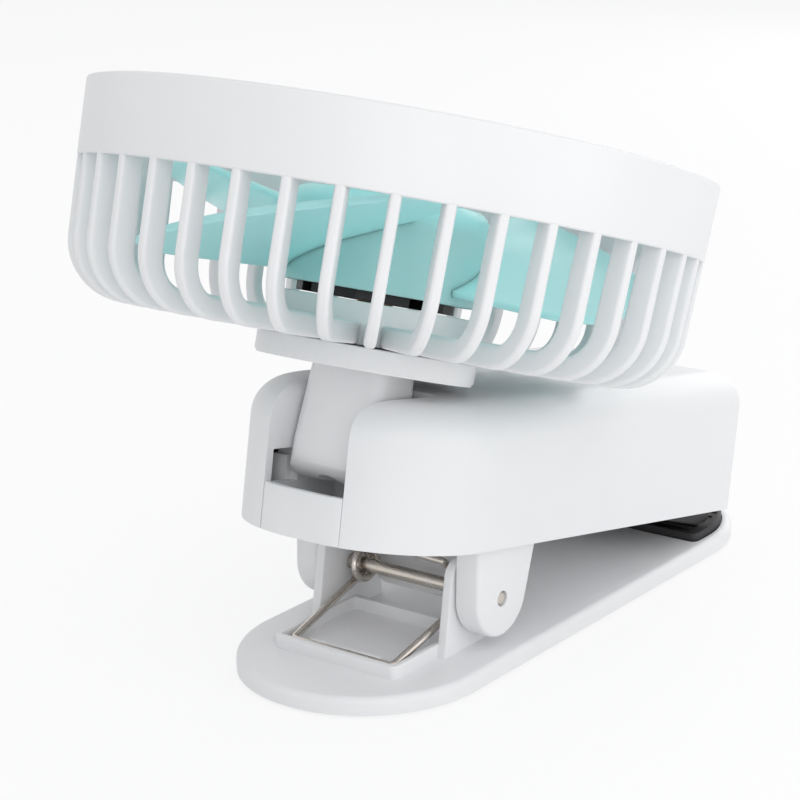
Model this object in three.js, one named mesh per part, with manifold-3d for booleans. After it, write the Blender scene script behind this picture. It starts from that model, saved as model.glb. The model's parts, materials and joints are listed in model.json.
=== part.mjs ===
// Clip fan: a round fan head on a folding neck, carried by a sprung clamp that holds the battery.
// Millimetres, +Z up, +X towards the tip of the jaws, origin on the table under the clamp's hinge pin.

import * as THREE from 'three';
import { mergeVertices } from 'three/addons/utils/BufferGeometryUtils.js';
import Module from 'manifold-3d';

const wasm = await Module();
wasm.setup();

const rad = THREE.MathUtils.degToRad;

// ---------------------------------------------------------------- general clearances
const gap = 0.3;                  // between pieces that touch or are pressed together
const bearingPlay = 0.1;          // radial play of a pin or shaft in its bore
const screwShankRadius = 0.9;
const screwHeadRadius = 1.9;
const screwHeadHeight = 1.2;
const screwSocketRadius = 0.8;

// ---------------------------------------------------------------- lower jaw, in the part's frame
const jaw = {
  halfWidth: 26.8,
  handleEnd: 40.8,                // from the hinge pin back to the handle end
  tipEnd: 104.9,                  // from the hinge pin to the tip
  handleRadius: 26.3,
  tipRadius: 25.5,
  top: 4.1,
  bottom: 0.5,
  edgeRadius: 1.5,
};
const mat = { thickness: 1.0, inset: 1.4 };
const pinHeight = 14.64;
const pinRadius = 1.45;
const riser = {
  innerY: 15.25,
  thickness: 2.15,
  footFront: 11.6,                // foot edge on the handle side, from the pin
  lean: 10.6,                     // degrees that the front edge leans towards the tip
  footBack: 10.2,
  top: 8.6,                       // above the pin
  cornerRadius: 2.6,
};
const pocket = { front: 25.8, halfWidth: 15.7, wall: 1.3, height: 2.5, back: 0.9 };
const pocketRib = { halfLength: 9.0, thickness: 1.3, height: 1.9 };
const lowerPad = {
  start: 73.9,                    // edge on the hinge side
  inset: 2.3,                     // from the outline of the jaw
  recess: 0.8,
  thickness: 2.3,
  lipWidth: 1.0,
  lipHeight: 0.45,
};

// ---------------------------------------------------------------- clamp spring
const spring = {
  wireRadius: 0.8,
  coilRadius: 3.05,               // to the middle of the wire
  pitch: 2.1,
  innerY: 10.7,                   // where the upper leg meets the coil
  legTipX: -1.9,                  // bent upper end, from the pin
  legTipZ: 6.1,
  bentLength: 8.4,
  bendRadius: 1.7,
};

// ---------------------------------------------------------------- upper jaw housing, in a frame at the pin
const housing = {
  pitch: 11.41,                   // degrees, handle end up, jaws closed
  halfWidth: 26.87,
  handleEnd: 38.8,
  tipEnd: 86.5,
  handleRadius: 24.3,
  tipRadius: 4.0,
  bottom: 11.56,
  topAtPin: 40.75,
  topSlope: 0.022,                // the housing is a little taller at the tip
  fillet: 7.5,
  wall: 1.8,
};
const cover = { thickness: 2.4 };
const ear = { radius: 8.0, topHalfWidth: 10.3, outerY: 23.5, thickness: 5.75 };
const springSeat = { from: -8.0, to: 1.5, halfWidth: 9.6 };
const springGuard = { from: 5.3, to: 7.3, halfWidth: 12.6, depth: 4.2, cornerRadius: 3.0 };
const upperPad = { from: 62, to: 83.4, halfWidth: 22.5 };

// slot at the handle end, where the neck folds
const slot = { halfWidth: 9.9, end: 15.0, flare: 3.2, panelTop: 21.0, panelThickness: 1.7 };
const slotWindow = { from: 35.6, to: 27.4, bottom: 20.4, top: 27.2 };
const pivot = { x: -24.2, z: 28.5, pinRadius: 1.9 };
const pinPost = { halfLength: 4.2, shoulder: 25.0, saddleHalfLength: 3.2, thickness: 3.6 };

// what the housing carries
const battery = {
  radius: 9.15,
  length: 65.0,
  from: -10.2,
  y: -10.4,
  z: 25.6,
  buttonRadius: 2.8,
  buttonHeight: 1.0,
};
const contact = { thickness: 0.4, width: 11.0, height: 12.0 };
const saddle = { thickness: 2.4, height: 6.2, inset: 9.0 };
const board = {
  from: 14.0,
  to: 60.0,
  width: 20.2,
  sideRoom: 1.67,                 // from its edge to the inside of the housing's wall
  z: 20.4,
  thickness: 1.6,
  postRadius: 1.7,
  postInset: 3.0,
};
const usb = {
  x: 47.0,
  width: 8.94,
  height: 3.26,
  depth: 7.2,
  shellWall: 0.35,
  mouthPlay: 0.35,
};
const button = {
  x: 24.0,
  halfLength: 4.6,
  halfWidth: 2.3,
  proud: 0.7,
  travel: 0.5,
  flange: 1.2,
  flangeThickness: 0.7,
};
const tactSwitch = { halfWidth: 3.0, depth: 3.4, height: 3.4, plungerRadius: 1.0 };
const lens = { x: 35.0, radius: 0.9 };
const coverScrew = {
  length: 7.4,
  bossRadius: 2.9,
  handleX: -17.2,
  handleY: 17.9,
  tipX: 68.0,
  tipY: 19.4,
};

// ---------------------------------------------------------------- neck and head, from the rim's centre
const neckLean = 7.19;            // degrees towards the tip, relative to the housing
const neck = {
  halfWidth: 9.5,
  halfDepth: 6.3,                 // at the disc
  cornerRadius: 3.2,
  pivotZ: -62.2,
  knuckleRadius: 8.2,
  channelRadius: 2.6,             // two channels under the knuckle
  channelDepth: 2.2,
  channelY: 4.3,
  flangeRadius: 12.6,
  flangeThickness: 1.5,
  wireBore: 2.4,
};
const disc = {
  radius: 21.85,
  bottom: -46.5,
  top: -42.0,
  floor: 2.1,
  wall: 1.8,
  lip: 0.5,
  lipInset: 0.35,
};
const cage = {
  rimRadius: 62.5,
  bandTaper: 0.6,                 // the foot of the band lies this much inside its rim
  bandHeight: 15.0,
  wall: 1.8,
  sideTaper: 0.8,                 // and the ribs lean in by this much down to their corner
  cornerRadius: 11.4,
  bottom: -41.7,
  ribCount: 40,
  ribPhase: 1.4,
  ribThickness: 2.2,
  ribDepth: 5.0,
  ribFloor: 4.3,
  innerCornerRadius: 6.0,
};
const drum = { radius: 19.6, top: -33.6, wall: 1.6 };
const discScrew = { circle: 16.2, bossRadius: 2.6, length: 7.0 };
const neckScrew = { offset: 9.7, length: 3.2 };
const grille = {
  seatWall: 1.2,                  // what is left of the band outside the grille
  ringWidth: 2.2,
  ringDepth: 4.4,
  proud: 0.4,
  spokeWidth: 1.5,
  spokeDepth: 2.6,
  middleRing: 37.5,
  centreRadius: 15.5,
  capRadius: 12.6,
  capRecess: 1.1,
};

// ---------------------------------------------------------------- rotor and motor, same axis
const blade = {
  count: 3,
  phase: 148,                     // degrees, where the first blade starts
  tipRadius: 51.5,
  rootBottom: -29.4,
  tipBottom: -31.6,
  rootLead: 8.4,                  // rise per radian at the hub
  tipLead: 13.2,                  // and at the tip
  sweep: 97,                      // degrees that one blade spans
  thickness: 1.5,
};
const hub = { radius: 19.6, wall: 1.3, bottom: -31.5, top: -12.6, noseRadius: 3.0 };
const yoke = { wall: 0.9, top: -17.2 };
const magnet = { thickness: 1.6, airGap: 0.5 };
const stator = {
  coreTop: -23.4,
  coreBottom: -29.4,
  poleWidth: 4.6,
  poleCount: 4,
  polePhase: 22.7,
  tipHalfAngle: 33,
  tipThickness: 1.8,
  backRadius: 7.0,
};
const bobbin = { radius: 15.8, bottom: -33.3, flangeHalfAngle: 38.5, upperThickness: 1.4 };
const winding = { thickness: 1.5, endGap: 0.5 };
const shaftRadius = 1.0;
const bearing = { radius: 2.6, length: 4.0 };
const tube = { wall: 0.9, top: -19.0, bottom: -39.4 };
const motorBoard = { radius: 12.9, thickness: 1.5 };

// ---------------------------------------------------------------- finishes
const finish = {
  white: { color: 0xeff0f2, roughness: 0.42, metalness: 0 },
  teal: { color: 0x96e1dc, roughness: 0.38, metalness: 0 },
  rubber: { color: 0x26272a, roughness: 0.8, metalness: 0 },
  steel: { color: 0xb4ada4, roughness: 0.28, metalness: 1 },
  black: { color: 0x151516, roughness: 0.5, metalness: 0 },
  board: { color: 0x1f6b3f, roughness: 0.5, metalness: 0 },
  copper: { color: 0xb8713a, roughness: 0.35, metalness: 1 },
  brass: { color: 0xc9a552, roughness: 0.35, metalness: 1 },
  cell: { color: 0x2f6fa8, roughness: 0.4, metalness: 0 },
  lens: { color: 0xdff3ff, roughness: 0.15, metalness: 0 },
};

function part(name, geometry, look) {
  const mesh = new THREE.Mesh(geometry, new THREE.MeshStandardMaterial(finish[look]));
  mesh.name = name;
  return mesh;
}

// ---------------------------------------------------------------- joining and cutting
function solid(geometry) {
  const bare = geometry.clone();
  bare.deleteAttribute('normal');
  bare.deleteAttribute('uv');
  const welded = mergeVertices(bare, 1e-4);
  const vertProperties = new Float32Array(welded.attributes.position.array);
  const triVerts = new Uint32Array(welded.index.array);
  return new wasm.Manifold(new wasm.Mesh({ numProp: 3, vertProperties, triVerts }));
}

function geometryOf(body) {
  const mesh = body.getMesh();
  const geometry = new THREE.BufferGeometry();
  geometry.setAttribute('position', new THREE.BufferAttribute(new Float32Array(mesh.vertProperties), 3));
  geometry.setIndex(new THREE.BufferAttribute(new Uint32Array(mesh.triVerts), 1));
  return geometry;
}

function join(first, ...others) {
  return geometryOf(others.reduce((body, other) => body.add(solid(other)), solid(first)));
}

function cut(first, ...others) {
  return geometryOf(others.reduce((body, other) => body.subtract(solid(other)), solid(first)));
}

function common(first, second) {
  return geometryOf(solid(first).intersect(solid(second)));
}

// ---------------------------------------------------------------- profiles and basic forms
function arcPoints(cx, cy, radius, from, to, steps) {
  const points = [];
  for (let i = 0; i <= steps; i++) {
    const angle = rad(from + (to - from) * i / steps);
    points.push(new THREE.Vector2(cx + radius * Math.cos(angle), cy + radius * Math.sin(angle)));
  }
  return points;
}

// plan outline with its own corner radius at each end, drawn inwards by an inset
function planOutline(xMin, xMax, halfWidth, radiusMin, radiusMax, inset = 0, steps = 9) {
  const x0 = xMin + inset;
  const x1 = xMax - inset;
  const w = halfWidth - inset;
  const r0 = Math.min(Math.max(radiusMin - inset, 0.35), w - 0.01);
  const r1 = Math.min(Math.max(radiusMax - inset, 0.35), w - 0.01);
  return [
    ...arcPoints(x0 + r0, -w + r0, r0, 180, 270, steps),
    ...arcPoints(x1 - r1, -w + r1, r1, 270, 360, steps),
    ...arcPoints(x1 - r1, w - r1, r1, 0, 90, steps),
    ...arcPoints(x0 + r0, w - r0, r0, 90, 180, steps),
  ];
}

function prism(points, z0, z1, holes = []) {
  const shape = new THREE.Shape(points);
  shape.holes = holes.map((hole) => new THREE.Path(hole));
  const geometry = new THREE.ExtrudeGeometry(shape, { depth: z1 - z0, bevelEnabled: false });
  return geometry.translate(0, 0, z0);
}

// outline drawn in X and Z, carried along Y
function sidePrism(points, y0, y1) {
  return prism(points, 0, y1 - y0).rotateX(Math.PI / 2).translate(0, y1, 0);
}

// outline drawn in Y and Z, carried along X
function endPrism(points, x0, x1) {
  return prism(points, 0, x1 - x0).rotateX(Math.PI / 2).rotateZ(Math.PI / 2).translate(x0, 0, 0);
}

function box(x0, x1, y0, y1, z0, z1) {
  const geometry = new THREE.BoxGeometry(x1 - x0, y1 - y0, z1 - z0);
  return geometry.translate((x0 + x1) / 2, (y0 + y1) / 2, (z0 + z1) / 2);
}

function rod(radius, z0, z1, sides = 24) {
  return rodY(radius, z0, z1, sides).rotateX(Math.PI / 2);
}

function rodY(radius, y0, y1, sides = 24) {
  return new THREE.CylinderGeometry(radius, radius, y1 - y0, sides).translate(0, (y0 + y1) / 2, 0);
}

function rodX(radius, x0, x1, sides = 24) {
  return rodY(radius, -x1, -x0, sides).rotateZ(Math.PI / 2);
}

// closed section of [radius, z] pairs turned about the Z axis
function turned(section, sides = 40) {
  const points = section.map(([r, z]) => new THREE.Vector2(r, z));
  if (section[0][0] > 0 || section.at(-1)[0] > 0) points.push(points[0].clone());
  return new THREE.LatheGeometry(points, sides).rotateX(Math.PI / 2);
}

function ring(inner, outer, z0, z1, sides = 40) {
  return turned([[inner, z0], [outer, z0], [outer, z1], [inner, z1]], sides);
}

// skin through equal rings of points, closed by a flat cap at each end
function loft(rings) {
  const count = rings[0].length;
  const positions = rings.flat().flatMap((p) => [p.x, p.y, p.z]);
  const index = [];
  for (let k = 0; k + 1 < rings.length; k++) {
    for (let i = 0; i < count; i++) {
      const a = k * count + i;
      const b = k * count + (i + 1) % count;
      index.push(a, b, b + count, a, b + count, a + count);
    }
  }
  const caps = (points, base, flip) => {
    const flat = points.map((p) => new THREE.Vector2(p.x, p.y));
    for (const [a, b, c] of THREE.ShapeUtils.triangulateShape(flat, [])) {
      index.push(...(flip ? [base + a, base + c, base + b] : [base + a, base + b, base + c]));
    }
  };
  caps(rings[0], 0, true);
  caps(rings.at(-1), (rings.length - 1) * count, false);
  const geometry = new THREE.BufferGeometry();
  geometry.setAttribute('position', new THREE.Float32BufferAttribute(positions, 3));
  geometry.setIndex(index);
  return geometry;
}

function level(outline, z) {
  return outline.map((p) => new THREE.Vector3(p.x, p.y, typeof z === 'function' ? z(p.x) : z));
}

// ---------------------------------------------------------------- lower jaw
function jawOutline(inset, steps = 9) {
  return planOutline(-jaw.handleEnd, jaw.tipEnd, jaw.halfWidth, jaw.handleRadius, jaw.tipRadius,
    inset, steps);
}

function jawPlate() {
  const rings = [level(jawOutline(0), jaw.bottom)];
  const levels = 3;
  for (let k = 0; k <= levels; k++) {
    const angle = Math.PI / 2 * k / levels;
    const inset = jaw.edgeRadius * (1 - Math.cos(angle));
    rings.push(level(jawOutline(inset), jaw.top - jaw.edgeRadius * (1 - Math.sin(angle))));
  }
  return loft(rings);
}

// riser that carries the hinge pin, drawn from the pin
function riserOutline() {
  const foot = jaw.top - pinHeight - 0.4;
  const frontTop = -riser.footFront + Math.tan(rad(riser.lean)) * (riser.top - foot);
  const r = riser.cornerRadius;
  return [
    new THREE.Vector2(-riser.footFront, foot),
    new THREE.Vector2(riser.footBack, foot),
    ...arcPoints(riser.footBack - 1 - r, riser.top - r, r, 0, 90, 4),
    ...arcPoints(frontTop + r, riser.top - r, r, 90, 180 - riser.lean, 4),
  ];
}

const pinBoreRadius = pinRadius + bearingPlay;
const pocketInnerFront = -pocket.front + pocket.wall;
const springBarX = pocketInnerFront + gap + spring.wireRadius;
const springBarZ = jaw.top + gap + spring.wireRadius;

function padOutline(grow) {
  const inset = lowerPad.inset - grow;
  const start = lowerPad.start - grow;
  const kept = jawOutline(inset, 10).filter((p) => p.x > start + 1.2);
  const corner = jaw.halfWidth - inset;
  const near = arcPoints(start + 1.5, -corner + 1.5, 1.5, 180, 270, 3);
  const far = arcPoints(start + 1.5, corner - 1.5, 1.5, 90, 180, 3);
  return [...near, ...kept, ...far];
}

function lowerJaw() {
  const matRoom = prism(jawOutline(mat.inset - gap), jaw.bottom - 1, mat.thickness + gap);
  const padRoom = prism(padOutline(gap), jaw.top - lowerPad.recess, jaw.top + 1);
  const floor = jaw.top - gap;
  const frameTop = jaw.top + pocket.height;
  const w = pocket.halfWidth;
  const frameOuter = box(-pocket.front, pocket.back, -w, w, floor, frameTop);
  const frameInner = box(pocketInnerFront, pocket.back - pocket.wall, -w + pocket.wall, w - pocket.wall,
    floor - 1, frameTop + 1);
  const frame = cut(frameOuter, frameInner);
  const ribX = springBarX + spring.wireRadius + gap;
  const rib = box(ribX, ribX + pocketRib.thickness, -pocketRib.halfLength, pocketRib.halfLength,
    floor, jaw.top + pocketRib.height);
  const pieces = [frame, rib];
  for (const side of [-1, 1]) {
    const inner = side * riser.innerY;
    const outer = side * (riser.innerY + riser.thickness);
    const blank = sidePrism(riserOutline(), Math.min(inner, outer), Math.max(inner, outer));
    const bore = rodY(pinBoreRadius, -ear.outerY, ear.outerY);
    pieces.push(cut(blank, bore).translate(0, 0, pinHeight));
  }
  const plate = cut(jawPlate(), matRoom, padRoom);
  return part('lower_jaw', join(plate, ...pieces), 'white');
}

function baseMat() {
  return part('base_mat', prism(jawOutline(mat.inset), 0, mat.thickness), 'rubber');
}

function lowerJawPad() {
  const bottom = jaw.top - lowerPad.recess + gap;
  const top = bottom + lowerPad.thickness;
  const blank = prism(padOutline(0), bottom, top);
  const dish = prism(padOutline(-lowerPad.lipWidth), top - lowerPad.lipHeight, top + 1);
  return part('lower_jaw_pad', cut(blank, dish), 'rubber');
}

function hingePin() {
  const reach = ear.outerY - gap;
  return part('hinge_pin', rodY(pinRadius, -reach, reach).translate(0, 0, pinHeight), 'steel');
}

// ---------------------------------------------------------------- clamp spring
// polyline with each inner corner replaced by an arc
function roundedPath(points, radius, steps) {
  const path = [points[0]];
  for (let i = 1; i + 1 < points.length; i++) {
    const before = points[i - 1].clone().sub(points[i]).normalize();
    const after = points[i + 1].clone().sub(points[i]).normalize();
    const half = before.angleTo(after) / 2;
    const back = radius / Math.tan(half);
    const start = points[i].clone().addScaledVector(before, back);
    const end = points[i].clone().addScaledVector(after, back);
    const inwards = before.clone().add(after).normalize();
    const centre = points[i].clone().addScaledVector(inwards, radius / Math.sin(half));
    const from = start.clone().sub(centre);
    const to = end.clone().sub(centre);
    const sweep = from.angleTo(to);
    for (let k = 0; k <= steps; k++) {
      const t = k / steps;
      const a = Math.sin((1 - t) * sweep) / Math.sin(sweep);
      const b = Math.sin(t * sweep) / Math.sin(sweep);
      path.push(centre.clone().addScaledVector(from, a).addScaledVector(to, b));
    }
  }
  path.push(points.at(-1));
  return path;
}

// one side of the wire, from the bent upper end, round the coil, to the bottom bar
function springSide(side) {
  const barZ = springBarZ - pinHeight;
  const upper = new THREE.Vector2(spring.legTipX, spring.legTipZ);
  const lower = new THREE.Vector2(springBarX, barZ);
  const leave = upper.angle() - Math.acos(spring.coilRadius / upper.length());
  const arrive = lower.angle() + Math.acos(spring.coilRadius / lower.length());
  const turn = 2 * Math.PI;
  const sweep = turn + ((leave - arrive) % turn + turn) % turn;
  const outerY = spring.innerY + spring.pitch * sweep / turn;
  const stepsPerTurn = 8;
  const steps = Math.round(stepsPerTurn * sweep / turn);
  const coil = [];
  for (let k = 0; k <= steps; k++) {
    const angle = leave - sweep * k / steps;
    const x = spring.coilRadius * Math.cos(angle);
    const y = spring.innerY + (outerY - spring.innerY) * k / steps;
    coil.push(new THREE.Vector3(x, side * y, spring.coilRadius * Math.sin(angle)));
  }
  const bentEnd = spring.innerY - spring.bentLength;
  const top = roundedPath([
    new THREE.Vector3(upper.x, side * bentEnd, upper.y),
    new THREE.Vector3(upper.x, side * spring.innerY, upper.y),
    coil[0],
  ], spring.bendRadius, 3);
  const bottom = roundedPath([
    coil.at(-1),
    new THREE.Vector3(lower.x, side * outerY, lower.y),
    new THREE.Vector3(lower.x, 0, lower.y),
  ], spring.bendRadius, 3);
  return [...top, ...coil.slice(1), ...bottom.slice(1, -1)];
}

function springPath() {
  return [...springSide(-1), ...springSide(1).reverse()];
}

// least distance between stretches of the wire that are not neighbours, less its thickness
function leastWireGap(path) {
  const samples = [];
  let along = 0;
  for (let i = 0; i + 1 < path.length; i++) {
    const length = path[i].distanceTo(path[i + 1]);
    const pieces = Math.max(1, Math.ceil(length / 0.5));
    for (let k = 0; k < pieces; k++) {
      const point = path[i].clone().lerp(path[i + 1], k / pieces);
      samples.push({ point, along: along + length * k / pieces });
    }
    along += length;
  }
  let least = Infinity;
  for (const a of samples) {
    for (const b of samples) {
      if (b.along - a.along < 8 * spring.wireRadius) continue;
      least = Math.min(least, a.point.distanceTo(b.point));
    }
  }
  return least - 2 * spring.wireRadius;
}

// round wire of a few sides along a path, with square ends
function wire(path, radius, sides) {
  const rings = [];
  let normal = new THREE.Vector3(0, 0, 1);
  for (let i = 0; i < path.length; i++) {
    const before = path[Math.max(i - 1, 0)];
    const after = path[Math.min(i + 1, path.length - 1)];
    const along = after.clone().sub(before).normalize();
    normal = normal.clone().addScaledVector(along, -normal.dot(along)).normalize();
    const across = along.clone().cross(normal);
    const points = [];
    for (let k = 0; k < sides; k++) {
      const angle = 2 * Math.PI * k / sides;
      const offset = normal.clone().multiplyScalar(radius * Math.cos(angle));
      points.push(offset.addScaledVector(across, radius * Math.sin(angle)).add(path[i]));
    }
    rings.push(points);
  }
  const positions = rings.flat().flatMap((p) => [p.x, p.y, p.z]);
  const index = [];
  for (let i = 0; i + 1 < rings.length; i++) {
    for (let k = 0; k < sides; k++) {
      const a = i * sides + k;
      const b = i * sides + (k + 1) % sides;
      index.push(a, b, b + sides, a, b + sides, a + sides);
    }
  }
  const last = (rings.length - 1) * sides;
  for (let k = 1; k + 1 < sides; k++) {
    index.push(0, k + 1, k);
    index.push(last, last + k, last + k + 1);
  }
  const geometry = new THREE.BufferGeometry();
  geometry.setAttribute('position', new THREE.Float32BufferAttribute(positions, 3));
  geometry.setIndex(index);
  return geometry;
}

function clampSpring() {
  const path = springPath();
  console.log(`clamp_spring: least gap of the wire to itself ${leastWireGap(path).toFixed(2)} mm`);
  return part('clamp_spring', wire(path, spring.wireRadius, 5).translate(0, 0, pinHeight), 'steel');
}

// ---------------------------------------------------------------- upper housing
const topAt = (x) => housing.topAtPin + housing.topSlope * x;

function housingOutline(inset, steps = 8) {
  return planOutline(-housing.handleEnd, housing.tipEnd, housing.halfWidth, housing.handleRadius,
    housing.tipRadius, inset, steps);
}

// the housing's outer form, or its inside when drawn in by the wall
function housingForm(inset, bottom) {
  const fillet = housing.fillet - inset;
  const rings = [level(housingOutline(inset), bottom)];
  const levels = 4;
  for (let k = 0; k <= levels; k++) {
    const angle = Math.PI / 2 * k / levels;
    const drop = inset + fillet * (1 - Math.sin(angle));
    rings.push(level(housingOutline(inset + fillet * (1 - Math.cos(angle))), (x) => topAt(x) - drop));
  }
  return loft(rings);
}

// the slot's section: straight walls whose top edges flare out
function slotSection() {
  const w = slot.halfWidth;
  const f = slot.flare;
  const top = topAt(-slot.end - 10);
  return [
    new THREE.Vector2(-w, housing.bottom - 1),
    new THREE.Vector2(w, housing.bottom - 1),
    ...arcPoints(w + f, top - f, f, 180, 90, 5),
    new THREE.Vector2(w + f, top + 3),
    new THREE.Vector2(-w - f, top + 3),
    ...arcPoints(-w - f, top - f, f, 90, 0, 5),
  ];
}

const coverTop = housing.bottom + cover.thickness;
const coverScrewPlaces = [
  [coverScrew.handleX, -coverScrew.handleY],
  [coverScrew.handleX, coverScrew.handleY],
  [coverScrew.tipX, -coverScrew.tipY],
  [coverScrew.tipX, coverScrew.tipY],
];
const sideWallInner = housing.halfWidth - housing.wall;
const usbZ = board.z + board.thickness + gap + usb.height / 2;
const boardY1 = housing.halfWidth - housing.wall - board.sideRoom;
const boardY0 = boardY1 - board.width;
const buttonZ = board.z + board.thickness + gap + tactSwitch.height / 2;

function pill(halfLength, halfHeight) {
  return [...arcPoints(halfLength - halfHeight, 0, halfHeight, -90, 90, 6),
    ...arcPoints(-halfLength + halfHeight, 0, halfHeight, 90, 270, 6)];
}

function upperShell() {
  const room = slot.halfWidth + housing.wall;
  const slotBlock = box(-housing.handleEnd - 1, -slot.end + housing.wall, -room, room, coverTop + gap, 60);
  let cavity = cut(housingForm(housing.wall, housing.bottom - 1), slotBlock);
  for (const [x, y] of coverScrewPlaces) {
    const boss = rod(coverScrew.bossRadius, coverTop + gap, 60, 16).translate(x, y, 0);
    cavity = cut(cavity, boss);
  }
  const voids = [
    endPrism(slotSection(), -housing.handleEnd - 5, -slot.end),
    rodY(pivot.pinRadius + bearingPlay, -room - 1, room + 1, 20).translate(pivot.x, 0, pivot.z),
    box(-slotWindow.from, -slotWindow.to, -room - 1, room + 1, slotWindow.bottom, slotWindow.top),
    sidePrism(pill(usb.width / 2 + usb.mouthPlay, usb.height / 2 + usb.mouthPlay), sideWallInner - 1,
      housing.halfWidth + 1).translate(usb.x, 0, usbZ),
    sidePrism(pill(button.halfLength + gap, button.halfWidth + gap), sideWallInner - 1,
      housing.halfWidth + 1).translate(button.x, 0, buttonZ),
    rodY(lens.radius + gap, sideWallInner - 1, housing.halfWidth + 1, 12).translate(lens.x, 0, buttonZ),
  ];
  for (const [x, y] of coverScrewPlaces) {
    voids.push(rod(screwShankRadius + gap, coverTop - 1, housing.bottom + coverScrew.length + 1, 12)
      .translate(x, y, 0));
  }
  return part('upper_shell', cut(housingForm(0, housing.bottom), cavity, ...voids), 'white');
}

function earBlank(side) {
  const inner = ear.outerY - ear.thickness;
  const slope = Math.asin((ear.topHalfWidth - ear.radius) / (housing.bottom - 1));
  const degrees = THREE.MathUtils.radToDeg(slope);
  const outline = [
    ...arcPoints(0, 0, ear.radius, 180 + degrees * 0.5, 360 - degrees * 0.5, 12),
    new THREE.Vector2(ear.topHalfWidth, housing.bottom + 1),
    new THREE.Vector2(-ear.topHalfWidth, housing.bottom + 1),
  ];
  return side > 0 ? sidePrism(outline, inner, ear.outerY) : sidePrism(outline, -ear.outerY, -inner);
}

// upright panel that closes the foot of the slot and follows the housing's round end
function slotPanel() {
  const outer = prism(housingOutline(0), housing.bottom, slot.panelTop);
  const inner = prism(housingOutline(slot.panelThickness), housing.bottom - 1, slot.panelTop + 1);
  const w = slot.halfWidth - gap;
  const kept = box(-housing.handleEnd - 1, 0, -w, w, housing.bottom - 2, slot.panelTop + 2);
  return common(cut(outer, inner), kept);
}

function batterySaddle(x) {
  const blank = box(x - saddle.thickness / 2, x + saddle.thickness / 2, battery.y - battery.radius + 1,
    battery.y + battery.radius - 1, coverTop - gap, coverTop + saddle.height);
  return cut(blank, rodX(battery.radius + gap, x - 5, x + 5).translate(0, battery.y, battery.z));
}

// wall that keeps what the jaws hold away from the coils
function springGuardWall() {
  const g = springGuard;
  const r = g.cornerRadius;
  return endPrism([
    ...arcPoints(-g.halfWidth + r, r - g.depth, r, 180, 270, 4),
    ...arcPoints(g.halfWidth - r, r - g.depth, r, 270, 360, 4),
    new THREE.Vector2(g.halfWidth, housing.bottom + 1),
    new THREE.Vector2(-g.halfWidth, housing.bottom + 1),
  ], g.from, g.to);
}

const pinPostInnerY = slot.halfWidth + housing.wall + gap;

// post behind the slot's wall, with the saddle that carries one end of the neck's pin
function pinPostAt(side) {
  const p = pinPost;
  const y0 = side > 0 ? pinPostInnerY : -pinPostInnerY - p.thickness;
  const base = box(-p.halfLength, p.halfLength, y0, y0 + p.thickness, coverTop - gap, p.shoulder);
  const neb = box(-p.saddleHalfLength, p.saddleHalfLength, y0, y0 + p.thickness, coverTop, pivot.z);
  const saddle = rodY(pivot.pinRadius + bearingPlay, -30, 30, 20).translate(0, 0, pivot.z);
  return cut(join(base, neb), saddle).translate(pivot.x, 0, 0);
}

function bottomCover() {
  const plate = prism(housingOutline(housing.wall + gap), housing.bottom, coverTop);
  const pieces = [earBlank(-1), earBlank(1), slotPanel()];
  const seatBottom = spring.legTipZ + spring.wireRadius + 0.5;
  pieces.push(box(springSeat.from, springSeat.to, -springSeat.halfWidth, springSeat.halfWidth,
    seatBottom, housing.bottom + 1));
  pieces.push(springGuardWall(), pinPostAt(-1), pinPostAt(1));
  pieces.push(batterySaddle(battery.from + saddle.inset));
  pieces.push(batterySaddle(battery.from + battery.length - saddle.inset));
  for (const x of [board.from + board.postInset, board.to - board.postInset]) {
    for (const y of [boardY0 + board.postInset, boardY1 - board.postInset]) {
      pieces.push(rod(board.postRadius, coverTop - gap, board.z - gap, 12).translate(x, y, 0));
    }
  }
  const bridge = box(-housing.handleEnd + 1, -housing.handleEnd + housing.wall + 3, -slot.halfWidth + gap,
    slot.halfWidth - gap, housing.bottom, coverTop);
  pieces.push(common(bridge, prism(housingOutline(0.5), housing.bottom - 1, coverTop + 1)));
  const voids = [rodY(pinBoreRadius, -ear.outerY - 1, ear.outerY + 1)];
  for (const [x, y] of coverScrewPlaces) {
    voids.push(rod(screwShankRadius + gap, housing.bottom - 1, coverTop + 1, 12).translate(x, y, 0));
    voids.push(rod(screwHeadRadius + gap, housing.bottom - 1, housing.bottom + screwHeadHeight + gap, 16)
      .translate(x, y, 0));
  }
  return part('bottom_cover', cut(join(plate, ...pieces), ...voids), 'white');
}

// wedge under the upper jaw whose face lies flat on the lower pad
function upperJawPad() {
  const padTop = jaw.top - lowerPad.recess + gap + lowerPad.thickness + 0.4 - pinHeight;
  const angle = rad(housing.pitch);
  const faceZ = (x) => (padTop + x * Math.sin(angle)) / Math.cos(angle);
  const under = housing.bottom - gap;
  const outline = [
    new THREE.Vector2(upperPad.from, under - 1.0),
    new THREE.Vector2(lowerPad.start / Math.cos(angle) + 3, faceZ(lowerPad.start / Math.cos(angle) + 3)),
    new THREE.Vector2(upperPad.to, faceZ(upperPad.to)),
    new THREE.Vector2(upperPad.to, under),
    new THREE.Vector2(upperPad.from, under),
  ];
  return part('upper_jaw_pad', sidePrism(outline, -upperPad.halfWidth, upperPad.halfWidth), 'rubber');
}

function pivotPin() {
  const reach = pinPostInnerY + pinPost.thickness;
  const pin = rodY(pivot.pinRadius, -reach, reach, 20).translate(pivot.x, 0, pivot.z);
  return part('neck_pivot_pin', pin, 'steel');
}

function screw(name, length, headUp = false) {
  const head = rod(screwHeadRadius, 0, screwHeadHeight, 12);
  const shank = rod(screwShankRadius, screwHeadHeight - 0.2, length, 8);
  const socket = rod(screwSocketRadius, -1, screwHeadHeight / 2, 6);
  const geometry = cut(join(head, shank), socket);
  if (headUp) geometry.rotateX(Math.PI);
  return part(name, geometry, 'steel');
}

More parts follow.
